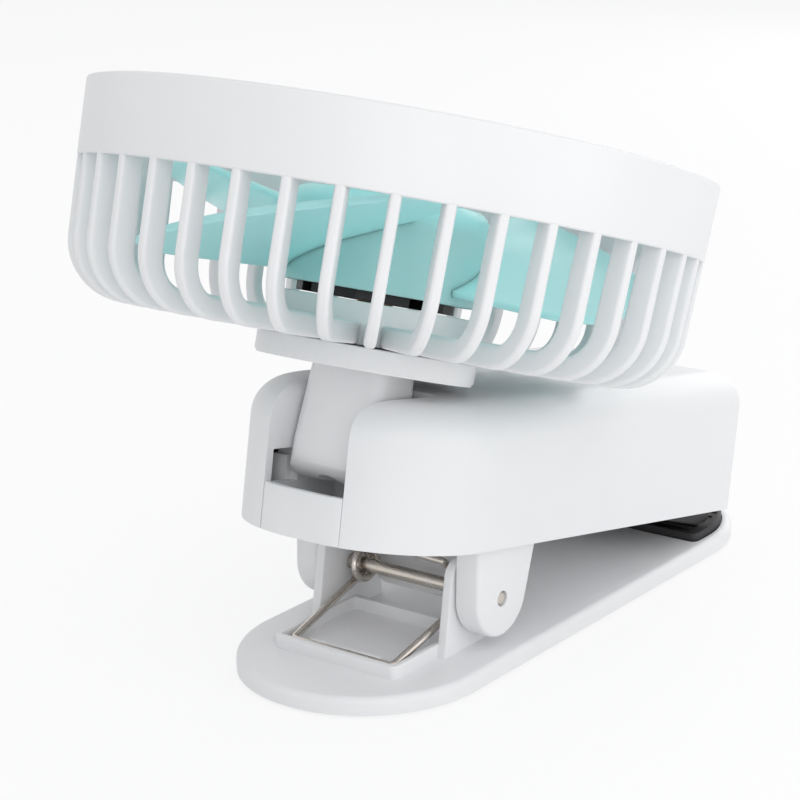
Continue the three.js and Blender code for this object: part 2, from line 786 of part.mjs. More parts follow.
function coverScrews() {
  return coverScrewPlaces.map(([x, y], i) => {
    const piece = screw(`cover_screw_${i + 1}`, coverScrew.length);
    piece.position.set(x, y, housing.bottom + 0.05);
    return piece;
  });
}

function batteryCell() {
  const can = rodX(battery.radius, battery.from, battery.from + battery.length - battery.buttonHeight);
  const nub = rodX(battery.buttonRadius, battery.from + 1, battery.from + battery.length, 16);
  return part('battery', join(can, nub).translate(0, battery.y, battery.z), 'cell');
}

function batteryContact(name, x) {
  const h = contact.height / 2;
  const w = contact.width / 2;
  const plate = box(x, x + contact.thickness, battery.y - w, battery.y + w, battery.z - h, battery.z + h);
  const foot = box(x, x + contact.thickness, battery.y - 2, battery.y + 2, coverTop + gap, battery.z);
  return part(name, join(plate, foot), 'steel');
}

function circuitBoard() {
  const slab = box(board.from, board.to, boardY0, boardY1, board.z, board.z + board.thickness);
  return part('circuit_board', slab, 'board');
}

function usbSocket() {
  const mouth = housing.halfWidth - 0.9;
  const outer = sidePrism(pill(usb.width / 2, usb.height / 2), mouth - usb.depth, mouth);
  const inner = sidePrism(pill(usb.width / 2 - usb.shellWall, usb.height / 2 - usb.shellWall),
    mouth - usb.depth + 1.2, mouth + 1);
  const tongue = box(-3.2, 3.2, mouth - usb.depth + 0.6, mouth - 0.8, -0.35, 0.35);
  const shell = join(cut(outer, inner), tongue);
  return part('usb_socket', shell.translate(usb.x, 0, usbZ), 'steel');
}

const buttonBack = sideWallInner - gap - button.flangeThickness;

function tactileSwitch() {
  const plungerEnd = buttonBack - button.travel - 0.15;
  const back = plungerEnd - 1.2 - tactSwitch.depth;
  const h = tactSwitch.height / 2;
  const body = box(-tactSwitch.halfWidth, tactSwitch.halfWidth, back, back + tactSwitch.depth, -h, h);
  const plunger = rodY(tactSwitch.plungerRadius, back + 1, plungerEnd, 12);
  return part('tact_switch', join(body, plunger).translate(button.x, 0, buttonZ), 'black');
}

function statusLight() {
  const geometry = box(-1.0, 1.0, sideWallInner - 3.4, sideWallInner - 1.4, -1.2, 1.2);
  const z = board.z + board.thickness + gap + 1.2;
  return part('status_led', geometry.translate(lens.x, 0, z), 'lens');
}

function lightPipe() {
  const pipe = rodY(lens.radius, sideWallInner - 1.1, housing.halfWidth - 0.15, 12);
  return part('light_pipe', pipe.translate(lens.x, 0, buttonZ), 'lens');
}

function powerButton() {
  const face = housing.halfWidth + button.proud;
  const cap = sidePrism(pill(button.halfLength, button.halfWidth), buttonBack, face);
  const flange = sidePrism(pill(button.halfLength + button.flange, button.halfWidth + button.flange),
    buttonBack, buttonBack + button.flangeThickness);
  return part('power_button', join(cap, flange).translate(button.x, 0, buttonZ), 'white');
}

// ---------------------------------------------------------------- neck, in a frame at its pivot
const discFloorTop = disc.bottom + disc.floor;

function neckSection(halfDepth, grow = 0) {
  return planOutline(-halfDepth - grow, halfDepth + grow, neck.halfWidth + grow,
    neck.cornerRadius + grow, neck.cornerRadius + grow, 0, 4);
}

function neckArm() {
  const top = discFloorTop + gap + neck.flangeThickness;
  const r = neck.knuckleRadius;
  const column = loft([
    level(neckSection(r), neck.pivotZ - r - 1),
    level(neckSection(r), neck.pivotZ),
    level(neckSection(neck.halfDepth), disc.bottom),
    level(neckSection(neck.halfDepth), top),
  ]);
  const side = sidePrism([
    ...arcPoints(0, neck.pivotZ, r, 180, 360, 16),
    new THREE.Vector2(r + 1, top + 1),
    new THREE.Vector2(-r - 1, top + 1),
  ], -neck.halfWidth - 1, neck.halfWidth + 1);
  const flange = rod(neck.flangeRadius, discFloorTop + gap, top, 32);
  const voids = [
    rodY(pivot.pinRadius + bearingPlay, -neck.halfWidth - 1, neck.halfWidth + 1, 20)
      .translate(0, 0, neck.pivotZ),
    rod(neck.wireBore, neck.pivotZ + pivot.pinRadius + 3.6, top + 1, 16),
  ];
  const channelZ = neck.pivotZ - r + neck.channelDepth - neck.channelRadius;
  for (const side of [-1, 1]) {
    const bore = rod(screwShankRadius + gap, discFloorTop - 1, top + 1, 12);
    voids.push(bore.translate(side * neckScrew.offset, 0, 0));
    const channel = rodX(neck.channelRadius, -r - 1, r + 1, 12);
    voids.push(channel.translate(0, side * neck.channelY, channelZ));
  }
  return part('neck_arm', cut(join(common(column, side), flange), ...voids), 'white');
}

function mountDisc() {
  const r = disc.radius;
  const cup = turned([
    [0, disc.bottom], [r - disc.lipInset, disc.bottom], [r - disc.lipInset, disc.bottom + disc.lip],
    [r, disc.bottom + disc.lip], [r, disc.top], [r - disc.wall, disc.top], [r - disc.wall, discFloorTop],
    [0, discFloorTop],
  ]);
  const voids = [prism(neckSection(neck.halfDepth, gap), disc.bottom - 1, disc.top)];
  for (const side of [-1, 1]) {
    const bore = rod(screwShankRadius + gap, disc.bottom + 0.5, disc.top, 12);
    voids.push(bore.translate(side * neckScrew.offset, 0, 0));
  }
  for (const [x, y] of discScrewPlaces) {
    voids.push(rod(screwShankRadius + gap, disc.bottom - 1, disc.top, 12).translate(x, y, 0));
    voids.push(rod(screwHeadRadius + gap, disc.bottom - 1, disc.bottom + screwHeadHeight + gap, 16)
      .translate(x, y, 0));
  }
  return part('mount_disc', cut(cup, ...voids), 'white');
}

const discScrewPlaces = [30, 150, 270].map((degrees) => [
  discScrew.circle * Math.cos(rad(degrees)), discScrew.circle * Math.sin(rad(degrees)),
]);

function headScrews() {
  const screws = discScrewPlaces.map(([x, y], i) => {
    const piece = screw(`disc_screw_${i + 1}`, discScrew.length);
    piece.position.set(x, y, disc.bottom + 0.05);
    return piece;
  });
  const seat = discFloorTop + gap + neck.flangeThickness + gap + screwHeadHeight;
  for (const [i, side] of [-1, 1].entries()) {
    const piece = screw(`neck_screw_${i + 1}`, neckScrew.length + screwHeadHeight, true);
    piece.position.set(side * neckScrew.offset, 0, seat);
    screws.push(piece);
  }
  return screws;
}

// ---------------------------------------------------------------- rear cage
const grilleRadius = cage.rimRadius - grille.seatWall - gap;
const grilleSeat = grille.proud - grille.ringDepth - gap;
const ribPitch = 360 / cage.ribCount;
const bandFootRadius = cage.rimRadius - cage.bandTaper;

// turns a ring so that a flat of it, and not an edge, meets each rib
function facingRibs(geometry, sides) {
  return geometry.rotateZ(rad(cage.ribPhase + 180 / sides + 90));
}

// one rib: down the side, round the corner and in along the bottom to the drum
function ribOutline() {
  const r = cage.cornerRadius;
  const q = cage.innerCornerRadius;
  const side = bandFootRadius - cage.sideTaper;
  const inner = side - cage.ribDepth;
  const floor = cage.bottom + cage.ribFloor;
  const top = -cage.bandHeight - gap;
  const root = drum.radius - drum.wall / 2;
  return [
    new THREE.Vector2(root, cage.bottom),
    ...arcPoints(side - r, cage.bottom + r, r, 270, 360, 4),
    new THREE.Vector2(bandFootRadius - 0.05, top),
    new THREE.Vector2(inner + 0.4, top),
    ...arcPoints(inner - q, floor + q, q, 360, 270, 2),
    new THREE.Vector2(root, floor),
  ];
}

// smooth ring on top of the ribs, with the seat of the front grille
function cageBand() {
  const seatRadius = cage.rimRadius - grille.seatWall;
  const band = turned([
    [bandFootRadius, -cage.bandHeight], [cage.rimRadius, 0],
    [seatRadius, 0], [seatRadius, grilleSeat], [cage.rimRadius - cage.wall - 0.4, grilleSeat],
    [bandFootRadius - cage.wall, -cage.bandHeight],
  ], 80);
  return part('cage_band', facingRibs(band, 80), 'white');
}

function rearCage() {
  const d = drum.radius;
  const bore = bearing.radius + tube.wall + bearingPlay + 0.3;
  const cup = facingRibs(turned([
    [bore, drum.top], [bore, drum.top - drum.wall], [d - drum.wall, drum.top - drum.wall],
    [d - drum.wall, cage.bottom], [d, cage.bottom], [d, drum.top],
  ], cage.ribCount), cage.ribCount);
  const pieces = [];
  for (let k = 0; k < cage.ribCount; k++) {
    const half = cage.ribThickness / 2;
    pieces.push(sidePrism(ribOutline(), -half, half).rotateZ(rad(cage.ribPhase + ribPitch * k)));
  }
  const bossEnd = discFloorTop + gap;
  for (const [x, y] of discScrewPlaces) {
    pieces.push(rod(discScrew.bossRadius, bossEnd, drum.top - 1, 16).translate(x, y, 0));
  }
  const bores = discScrewPlaces.map(([x, y]) =>
    rod(screwShankRadius + gap, bossEnd - 1, disc.bottom + discScrew.length + 1, 12).translate(x, y, 0));
  return part('rear_cage', cut(join(cup, ...pieces), ...bores), 'white');
}

// ---------------------------------------------------------------- front grille
function frontGrille() {
  const g = grille;
  const outer = grilleRadius;
  const inner = outer - g.ringWidth;
  const rim = facingRibs(turned([
    [inner, g.proud - g.ringDepth], [outer, g.proud - g.ringDepth], [outer, g.proud], [inner, g.proud],
  ], 80), 80);
  const foot = g.proud - g.spokeDepth;
  const middle = facingRibs(ring(g.middleRing - 0.8, g.middleRing + 0.8, foot, g.proud), 40);
  const centre = facingRibs(turned([
    [0, foot], [g.centreRadius, foot], [g.centreRadius, g.proud],
    [g.capRadius + gap, g.proud], [g.capRadius + gap, g.proud - g.capRecess], [0, g.proud - g.capRecess],
  ]), 40);
  const pieces = [middle, centre];
  const spokes = cage.ribCount / 2;
  for (let k = 0; k < spokes; k++) {
    const half = g.spokeWidth / 2;
    for (const [from, to, turn] of [[g.centreRadius - 1, outer - 1, 0], [g.middleRing, outer - 1, 0.5]]) {
      const spoke = box(from, to, -half, half, g.proud - g.spokeDepth + 0.1, g.proud - 0.1);
      pieces.push(spoke.rotateZ(rad(cage.ribPhase + 360 * (k + turn) / spokes)));
    }
  }
  return part('front_grille', join(rim, ...pieces), 'white');
}

function grilleCap() {
  const bottom = grille.proud - grille.capRecess + gap;
  const cap = turned([[0, bottom], [grille.capRadius, bottom], [grille.capRadius, grille.proud - 0.1],
    [grille.capRadius - 0.5, grille.proud + 0.25], [0, grille.proud + 0.25]], 28);
  return part('grille_cap', cap, 'white');
}

// ---------------------------------------------------------------- rotor
const yokeOuter = hub.radius - hub.wall - gap;
const magnetOuter = yokeOuter - yoke.wall - gap;
const magnetInner = magnetOuter - magnet.thickness;
const statorRadius = magnetInner - magnet.airGap;

// twisted blade: a helical sheet from the hub wall to the tip, its corners rounded off
function bladeForm(start) {
  const stations = 5;
  const chord = 9;
  const root = hub.radius - hub.wall / 2;
  const rows = [];
  for (let i = 0; i <= stations; i++) {
    const t = i / stations;
    const r = root + (blade.tipRadius - root) * t;
    const bottom = blade.rootBottom + (blade.tipBottom - blade.rootBottom) * t;
    const lead = blade.rootLead + (blade.tipLead - blade.rootLead) * t;
    const trim = 11 * Math.max(0, (t - 0.7) / 0.3) ** 2;
    const from = start - 4 * (1 - t) + trim * 0.5;
    const to = start + blade.sweep - 14 * (1 - t) - trim;
    const row = [];
    for (let k = 0; k <= chord; k++) {
      const angle = from + (to - from) * k / chord;
      const z = bottom + blade.thickness / 2 + lead * rad(angle - start);
      row.push(new THREE.Vector3(r * Math.cos(rad(angle)), r * Math.sin(rad(angle)), z));
    }
    rows.push(row);
  }
  const positions = [];
  for (const lift of [-0.5, 0.5]) {
    for (const row of rows) {
      for (const p of row) positions.push(p.x, p.y, p.z + lift * blade.thickness);
    }
  }
  const width = chord + 1;
  const layer = width * (stations + 1);
  const index = [];
  const quad = (a, b, c, d) => index.push(a, b, c, a, c, d);
  for (let i = 0; i < stations; i++) {
    for (let k = 0; k < chord; k++) {
      const a = i * width + k;
      quad(a, a + 1, a + width + 1, a + width);
      quad(layer + a, layer + a + width, layer + a + width + 1, layer + a + 1);
    }
  }
  for (let i = 0; i < stations; i++) {
    const a = i * width;
    const b = a + chord;
    quad(a, a + width, layer + a + width, layer + a);
    quad(b, layer + b, layer + b + width, b + width);
  }
  for (let k = 0; k < chord; k++) {
    const b = stations * width + k;
    quad(k, layer + k, layer + k + 1, k + 1);
    quad(b, b + 1, layer + b + 1, layer + b);
  }
  const geometry = new THREE.BufferGeometry();
  geometry.setAttribute('position', new THREE.Float32BufferAttribute(positions, 3));
  geometry.setIndex(index);
  return geometry;
}

function fanBlades() {
  const h = hub;
  const inner = h.radius - h.wall;
  const under = yoke.top + gap;
  const nose = arcPoints(h.radius - h.noseRadius, h.top - h.noseRadius, h.noseRadius, 0, 90, 3);
  const cap = turned([
    [0, under], [inner, under], [inner, h.bottom], [h.radius, h.bottom],
    ...nose.map((p) => [p.x, p.y]), [0, h.top],
  ]);
  const blades = [];
  for (let k = 0; k < blade.count; k++) blades.push(bladeForm(blade.phase + 360 * k / blade.count));
  const bore = rod(shaftRadius + bearingPlay, under - 1, under + 2.6, 16);
  return part('fan_blades', cut(join(cap, ...blades), bore), 'teal');
}

function rotorYoke() {
  const bore = shaftRadius + bearingPlay;
  const bottom = hub.bottom + 0.15;
  const inner = yokeOuter - yoke.wall;
  const shell = turned([
    [bore, yoke.top - yoke.wall], [inner, yoke.top - yoke.wall], [inner, bottom], [yokeOuter, bottom],
    [yokeOuter, yoke.top], [bore, yoke.top],
  ], 32);
  return part('rotor_yoke', shell, 'steel');
}

function magnetRing() {
  const top = yoke.top - yoke.wall - 2 * gap;
  return part('magnet_ring', ring(magnetInner, magnetOuter, hub.bottom + 0.8, top, 32), 'black');
}

function motorShaft() {
  const bottom = tube.bottom + 1.0;
  return part('motor_shaft', rod(shaftRadius, bottom, yoke.top + gap + 2.2, 20), 'steel');
}

// ---------------------------------------------------------------- motor
const tubeOuter = bearing.radius + bearingPlay + tube.wall;

function bearingTube() {
  const inner = bearing.radius + bearingPlay;
  return part('bearing_tube', ring(inner, tubeOuter, tube.bottom, tube.top, 24), 'brass');
}

function bearingAt(name, z) {
  return part(name, ring(shaftRadius + bearingPlay, bearing.radius, z, z + bearing.length, 24), 'brass');
}

function sector(inner, outer, halfAngle, z0, z1) {
  const points = [
    ...arcPoints(0, 0, outer, -halfAngle, halfAngle, 4),
    ...arcPoints(0, 0, inner, halfAngle, -halfAngle, 3),
  ];
  return prism(points, z0, z1);
}

function poles(make) {
  const pieces = [];
  for (let k = 0; k < stator.poleCount; k++) {
    pieces.push(make().rotateZ(rad(stator.polePhase + 360 * k / stator.poleCount)));
  }
  return pieces;
}

function statorCore() {
  const s = stator;
  const back = ring(tubeOuter + gap, s.backRadius, s.coreBottom, s.coreTop, 20);
  const arms = poles(() => join(
    box(s.backRadius - 1, statorRadius - 1, -s.poleWidth / 2, s.poleWidth / 2, s.coreBottom, s.coreTop),
    sector(statorRadius - s.tipThickness, statorRadius, s.tipHalfAngle, s.coreBottom, s.coreTop)));
  return part('stator_core', join(back, ...arms), 'steel');
}

function bobbinHalf(name, radius, z0, z1) {
  const back = ring(tubeOuter + gap, stator.backRadius, z0, z1, 20);
  const flanges = poles(() => sector(stator.backRadius - 1, radius, bobbin.flangeHalfAngle, z0, z1));
  return part(name, join(back, ...flanges), 'black');
}

function windings() {
  const s = stator;
  const mid = (s.coreTop + s.coreBottom) / 2;
  const halfZ = (s.coreTop - s.coreBottom) / 2 + gap;
  const halfY = s.poleWidth / 2 + gap;
  const t = winding.thickness;
  const from = s.backRadius + winding.endGap;
  const to = (statorRadius - s.tipThickness) * Math.cos(rad(s.tipHalfAngle)) - winding.endGap;
  return poles(() => cut(
    box(from, to, -halfY - t, halfY + t, mid - halfZ - t, mid + halfZ + t),
    box(from - 1, to + 1, -halfY, halfY, mid - halfZ, mid + halfZ),
  )).map((geometry, i) => part(`winding_${i + 1}`, geometry, 'copper'));
}

function motorBoardPlate() {
  const top = drum.top - drum.wall - gap;
  const slab = ring(tubeOuter + gap, motorBoard.radius, top - motorBoard.thickness, top, 28);
  return part('motor_board', slab, 'board');
}

// ---------------------------------------------------------------- assembly
function headGroup() {
  const upperBobbin = stator.coreTop + winding.thickness + 2 * gap;
  const lowerBobbinTop = stator.coreBottom - winding.thickness - 2 * gap;
  const group = new THREE.Group();
  group.add(
    neckArm(), mountDisc(), ...headScrews(), rearCage(), cageBand(), frontGrille(), grilleCap(),
    bearingTube(), bearingAt('bearing_upper', tube.top - bearing.length - 0.4),
    bearingAt('bearing_lower', tube.bottom + 1.4), statorCore(),
    bobbinHalf('bobbin_lower', bobbin.radius, bobbin.bottom, lowerBobbinTop),
    bobbinHalf('bobbin_upper', statorRadius, upperBobbin, upperBobbin + bobbin.upperThickness),
    ...windings(), motorBoardPlate(),
    fanBlades(), rotorYoke(), magnetRing(), motorShaft(),
  );
  group.position.set(0, 0, -neck.pivotZ);
  return group;
}

function neckGroup() {
  const group = new THREE.Group();
  group.position.set(pivot.x, 0, pivot.z);
  group.rotation.y = rad(neckLean);
  group.add(headGroup());
  return group;
}

function housingGroup() {
  const group = new THREE.Group();
  group.position.set(0, 0, pinHeight);
  group.rotation.y = rad(housing.pitch);
  group.add(
    upperShell(), bottomCover(), upperJawPad(), pivotPin(), ...coverScrews(), batteryCell(),
    batteryContact('battery_contact_minus', battery.from - gap - contact.thickness),
    batteryContact('battery_contact_plus', battery.from + battery.length + gap),
    circuitBoard(), usbSocket(), tactileSwitch(), statusLight(), lightPipe(), powerButton(), neckGroup(),
  );
  return group;
}

const clipFan = new THREE.Group();
clipFan.add(lowerJaw(), baseMat(), lowerJawPad(), hingePin(), clampSpring(), housingGroup());

export default clipFan;
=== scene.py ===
"""Clip fan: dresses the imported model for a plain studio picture.

Shapes are drawn in millimetres, each in the frame of what carries it, and are put into the
model's frame in metres when a piece is finished.
"""

import json
import math

import bmesh
import bpy
from mathutils import Matrix, Vector


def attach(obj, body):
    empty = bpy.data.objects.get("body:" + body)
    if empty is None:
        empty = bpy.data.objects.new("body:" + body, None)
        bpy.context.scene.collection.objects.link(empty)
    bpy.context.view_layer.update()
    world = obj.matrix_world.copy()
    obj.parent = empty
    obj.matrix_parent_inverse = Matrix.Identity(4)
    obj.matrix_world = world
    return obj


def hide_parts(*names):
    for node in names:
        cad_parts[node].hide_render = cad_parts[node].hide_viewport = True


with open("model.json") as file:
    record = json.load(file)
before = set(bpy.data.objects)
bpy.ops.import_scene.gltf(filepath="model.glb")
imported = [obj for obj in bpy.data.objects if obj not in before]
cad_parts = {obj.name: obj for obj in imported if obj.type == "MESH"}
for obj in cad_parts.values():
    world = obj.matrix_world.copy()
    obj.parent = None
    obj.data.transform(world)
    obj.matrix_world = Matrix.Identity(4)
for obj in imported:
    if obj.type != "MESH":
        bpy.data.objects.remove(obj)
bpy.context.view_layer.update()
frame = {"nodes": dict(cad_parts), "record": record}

# ---------------------------------------------------------------- where things are
MILLIMETRE = 0.001
PIN_HEIGHT, PIN_RADIUS, PIN_HALF = 14.64, 1.45, 23.2
HOUSING_PITCH = 11.41
PIVOT_X, PIVOT_Z, PIVOT_RADIUS = -24.2, 28.5, 1.9
NECK_LEAN, NECK_LENGTH = 7.19, 62.2
GAP = 0.3  # between pieces that touch on the real fan
PLAY = 0.1  # round pins
SHARP = 0.01  # edge of a rod that only cuts
THROUGH = 30  # half length of a cutter that goes right through


def turn(degrees, axis):
    return Matrix.Rotation(math.radians(degrees), 4, axis)


IN_PART = Matrix.Scale(MILLIMETRE, 4)
AT_PIN = IN_PART @ Matrix.Translation((0, 0, PIN_HEIGHT))
IN_HOUSING = AT_PIN @ turn(HOUSING_PITCH, "Y")
AT_PIVOT = IN_HOUSING @ Matrix.Translation((PIVOT_X, 0, PIVOT_Z)) @ turn(NECK_LEAN, "Y")
IN_HEAD = AT_PIVOT @ Matrix.Translation((0, 0, NECK_LENGTH))

# ---------------------------------------------------------------- camera
CAMERA_AZIMUTH, CAMERA_ELEVATION, CAMERA_ROLL = -52.15, 16.88, -1.42
CAMERA_TARGET = Vector((-1.64, 0, 52.88))
CAMERA_DISTANCE = 475.04
CAMERA_LENS = 106.1


def place_camera():
    a, e = math.radians(CAMERA_AZIMUTH), math.radians(CAMERA_ELEVATION)
    back = Vector((math.sin(a) * math.cos(e), -math.cos(a) * math.cos(e), math.sin(e)))
    right = Vector((math.cos(a), math.sin(a), 0))
    up = back.cross(right)
    roll = math.radians(CAMERA_ROLL)
    across = math.cos(roll) * right + math.sin(roll) * up
    over = math.cos(roll) * up - math.sin(roll) * right
    data = bpy.data.cameras.new("camera")
    data.lens = CAMERA_LENS
    camera = bpy.data.objects.new("camera", data)
    eye = (CAMERA_TARGET + back * CAMERA_DISTANCE) * MILLIMETRE
    axes = Matrix((across, over, back)).transposed().to_4x4()
    camera.matrix_world = Matrix.Translation(eye) @ axes
    bpy.context.scene.collection.objects.link(camera)
    bpy.context.scene.camera = camera
    bpy.context.scene.view_settings.view_transform = "Standard"


# ---------------------------------------------------------------- forming
LEAST_CORNER, END_FLAT = 0.35, 0.02


def round_corners(bm, verts, radius, steps):
    bmesh.ops.bevel(bm, geom=verts, offset=radius, offset_type="OFFSET", segments=steps,
                    profile=0.5, affect="VERTICES", material=-1)


def round_edges(bm, edges, width, steps, clamp=True):
    bmesh.ops.bevel(bm, geom=edges, offset=width, offset_type="OFFSET", segments=steps,
                    profile=0.5, affect="EDGES", clamp_overlap=clamp, material=-1)


def outline(corners, radii=None, steps=10):
    """Flat face on those corners, each rounded by its radius."""
    bm = bmesh.new()
    verts = [bm.verts.new((x, y, 0)) for x, y in corners]
    bm.faces.new(verts)
    for vert, radius in zip(verts, radii or []):
        if radius > 0:
            round_corners(bm, [vert], radius, steps)
    return bm


def rectangle(x0, x1, y0, y1, radii=(0, 0, 0, 0), steps=10):
    return outline([(x0, y0), (x1, y0), (x1, y1), (x0, y1)], radii, steps)


def end_outline(inset, handle, tip, half, handle_radius, tip_radius, steps):
    """Plan of a bar with a corner radius for each end, drawn in by an inset."""
    w = half - inset
    a, b = (min(max(radius - inset, LEAST_CORNER), w - END_FLAT)
            for radius in (handle_radius, tip_radius))
    return rectangle(handle + inset, tip - inset, -w, w, [a, b, b, a], steps)


def pill(half_length, half_height, steps=8):
    radius = half_height - SHARP
    return rectangle(-half_length, half_length, -half_height, half_height, [radius] * 4, steps)


def extrude(bm, vector):
    made = bmesh.ops.extrude_face_region(bm, geom=bm.faces[:])["geom"]
    far = [item for item in made if isinstance(item, bmesh.types.BMVert)]
    bmesh.ops.translate(bm, verts=far, vec=vector)
    bmesh.ops.recalc_face_normals(bm, faces=bm.faces)
    return bm


def moved(bm, x=0.0, y=0.0, z=0.0):
    bmesh.ops.translate(bm, verts=bm.verts, vec=(x, y, z))
    return bm


def turned(bm, degrees, axis="Z"):
    bmesh.ops.rotate(bm, verts=bm.verts, cent=(0, 0, 0), matrix=turn(degrees, axis))
    return bm


def slab(bm, low, high):
    return extrude(moved(bm, z=low), (0, 0, high - low))


def side_slab(bm, y0, y1):
    """The drawing's second axis becomes Z and the slab runs along Y."""
    return extrude(moved(turned(bm, 90, "X"), y=y0), (0, y1 - y0, 0))


def end_slab(bm, x0, x1):
    """The drawing becomes Y and Z and the slab runs along X."""
    return extrude(moved(turned(turned(bm, 90, "X"), 90, "Z"), x=x0), (x1 - x0, 0, 0))


def block(x0, x1, y0, y1, z0, z1):
    return slab(rectangle(x0, x1, y0, y1), z0, z1)


def tidied(bm, distance=0.002):
    bmesh.ops.remove_doubles(bm, verts=bm.verts, dist=distance)
    bmesh.ops.recalc_face_normals(bm, faces=bm.faces)
    return bm


def spun(profile, steps=96):
    """Profile of (radius, height) turned a full circle about Z."""
    bm = bmesh.new()
    verts = [bm.verts.new((r, 0, z)) for r, z in profile]
    edges = [bm.edges.new(pair) for pair in zip(verts, verts[1:])]
    if profile[0][0] > 0 or profile[-1][0] > 0:
        edges.append(bm.edges.new((verts[-1], verts[0])))
    bmesh.ops.spin(bm, geom=verts + edges, cent=(0, 0, 0), axis=(0, 0, 1), dvec=(0, 0, 0),
                   angle=2 * math.pi, steps=steps, use_merge=True)
    return tidied(bm)


def repeated(bm, count):
    """The shape and its copies, evenly round Z."""
    bmesh.ops.spin(bm, geom=bm.verts[:] + bm.edges[:] + bm.faces[:], cent=(0, 0, 0),
                   axis=(0, 0, 1), dvec=(0, 0, 0), angle=2 * math.pi * (count - 1) / count,
                   steps=count - 1, use_duplicate=True)
    return bm


def rod(radius, low, high, edge=0.15, steps=48):
    return spun([(0, low), (radius - edge, low), (radius, low + edge), (radius, high - edge),
                 (radius - edge, high), (0, high)], steps)


def rod_y(radius, y0, y1, edge=0.15, steps=48):
    return turned(rod(radius, y0, y1, edge, steps), -90, "X")


def softened(bm, width, segments=2, limit=35, keep=None):
    """Rounds the edges that are sharper than the limit."""
    edges = [e for e in bm.edges
             if len(e.link_faces) == 2 and e.calc_face_angle(0) > math.radians(limit)]
    if keep:
        edges = [e for e in edges if keep((e.verts[0].co + e.verts[1].co) / 2)]
    round_edges(bm, edges, width, segments)
    return bm


def gathered(*shapes):
    """Several shapes in one mesh, each still closed in itself."""
    whole = bmesh.new()
    for shape in shapes:
        mesh = bpy.data.meshes.new("part")
        shape.to_mesh(mesh)
        shape.free()
        whole.from_mesh(mesh)
        bpy.data.meshes.remove(mesh)
    return whole


def bridged(rings):
    """A closed skin over flat rings that have the same number of edges, in their order."""
    count, levels = len(rings[0].edges), len(rings)
    form = gathered(*rings)
    form.edges.ensure_lookup_table()
    form.faces.ensure_lookup_table()
    inner = form.faces[1:levels - 1]
    for k in range(levels - 1):
        bmesh.ops.bridge_loops(form, edges=form.edges[k * count:(k + 2) * count])
        form.edges.ensure_lookup_table()
    bmesh.ops.delete(form, geom=inner, context="FACES_ONLY")
    return tidied(form)


def scratch_object(bm):
    mesh = bpy.data.meshes.new("scratch")
    bm.to_mesh(mesh)
    bm.free()
    made = bpy.data.objects.new("scratch", mesh)
    bpy.context.scene.collection.objects.link(made)
    return made


def worked(bm, operation, *tools):
    """The shape cut by or held to the tools, one after another."""
    body = scratch_object(bm)
    cutters = [scratch_object(tool) for tool in tools]
    for cutter in cutters:
        modifier = body.modifiers.new("work", "BOOLEAN")
        modifier.operation = operation
        modifier.solver = "EXACT"
        modifier.object = cutter
    result = bmesh.new()
    mesh = body.evaluated_get(bpy.context.evaluated_depsgraph_get()).to_mesh()
    result.from_mesh(mesh)
    for made in [body, *cutters]:
        data = made.data
        bpy.data.objects.remove(made)
        bpy.data.meshes.remove(data)
    return tidied(result)


def finished(bm, name, place, body, slot, *nodes, sharp=35):
    """Puts the shape in the model as a piece that rides on a body and stands for CAD nodes."""
    bmesh.ops.transform(bm, matrix=place, verts=bm.verts)
    mesh = bpy.data.meshes.new(name)
    bm.to_mesh(mesh)
    bm.free()
    mesh.shade_smooth()
    mesh.set_sharp_from_angle(angle=math.radians(sharp))
    piece = bpy.data.objects.new(name, mesh)
    bpy.context.scene.collection.objects.link(piece)
    mesh.materials.append(FINISHES[slot])
    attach(piece, body)
    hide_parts(*nodes)
    return piece


def ease_edges(piece, width):
    """Takes the sharpness off the edges that cutting left on a piece."""
    edge = piece.modifiers.new("edge", "BEVEL")
    edge.width = width * MILLIMETRE
    edge.segments = 2
    edge.limit_method = "ANGLE"
    edge.angle_limit = math.radians(40)


# ---------------------------------------------------------------- finishes
# Scales of noise are cells to a metre.
MILK_DEPTH = 5.0
WHITE, WHITE_SHADE = (0.82, 0.823, 0.832, 1), (0.80, 0.804, 0.815, 1)
TEAL, TEAL_SHADE = (0.47, 0.965, 0.945, 1), (0.44, 0.945, 0.925, 1)
BLACK, BLACK_SHADE = (0.012, 0.012, 0.013, 1), (0.018, 0.018, 0.02, 1)
WRAP, WRAP_SHADE = (0.03, 0.16, 0.40, 1), (0.025, 0.13, 0.34, 1)
RUBBER, FERRITE, BLOOM = (0.016, 0.016, 0.018, 1), (0.03, 0.03, 0.032, 1), (0.05, 0.05, 0.054, 1)
NICKEL, NICKEL_SHADE = (0.62, 0.575, 0.525, 1), (0.54, 0.50, 0.455, 1)
STEEL, STEEL_SHADE = (0.34, 0.34, 0.35, 1), (0.26, 0.26, 0.27, 1)
BRONZE, BRONZE_SHADE = (0.60, 0.42, 0.18, 1), (0.50, 0.33, 0.13, 1)
# The second copper colour is a painted highlight on the crest of each wound turn.
COPPER, COPPER_PAINTED_HIGHLIGHT = (0.30, 0.11, 0.04, 1), (0.72, 0.33, 0.14, 1)
LAMINATE, TRACK = (0.012, 0.11, 0.04, 1), (0.05, 0.25, 0.09, 1)
LENS, LENS_CLOUD = (0.62, 0.76, 0.84, 1), (0.80, 0.88, 0.92, 1)
TURNED, DRAWN = (1, 1, 12), (1, 1, 8)


class Wire:
    """An output socket in a node tree. Arithmetic on it adds the nodes."""

    def __init__(self, tree, socket):
        self.tree = tree
        self.socket = socket

    def math(self, operation, *values):
        return self.tree.node("ShaderNodeMath", {"operation": operation}, dict(enumerate(values)))

    def __add__(self, other):
        return self.math("ADD", self, other)

    def __rsub__(self, other):
        return self.math("SUBTRACT", other, self)

    def __mul__(self, other):
        return self.math("MULTIPLY", self, other)

    def clear_of(self, low, high):
        """0 below low and 1 above high, straight between them."""
        return self.tree.node("ShaderNodeMapRange", {"clamp": True}, {0: self, 1: low, 2: high})


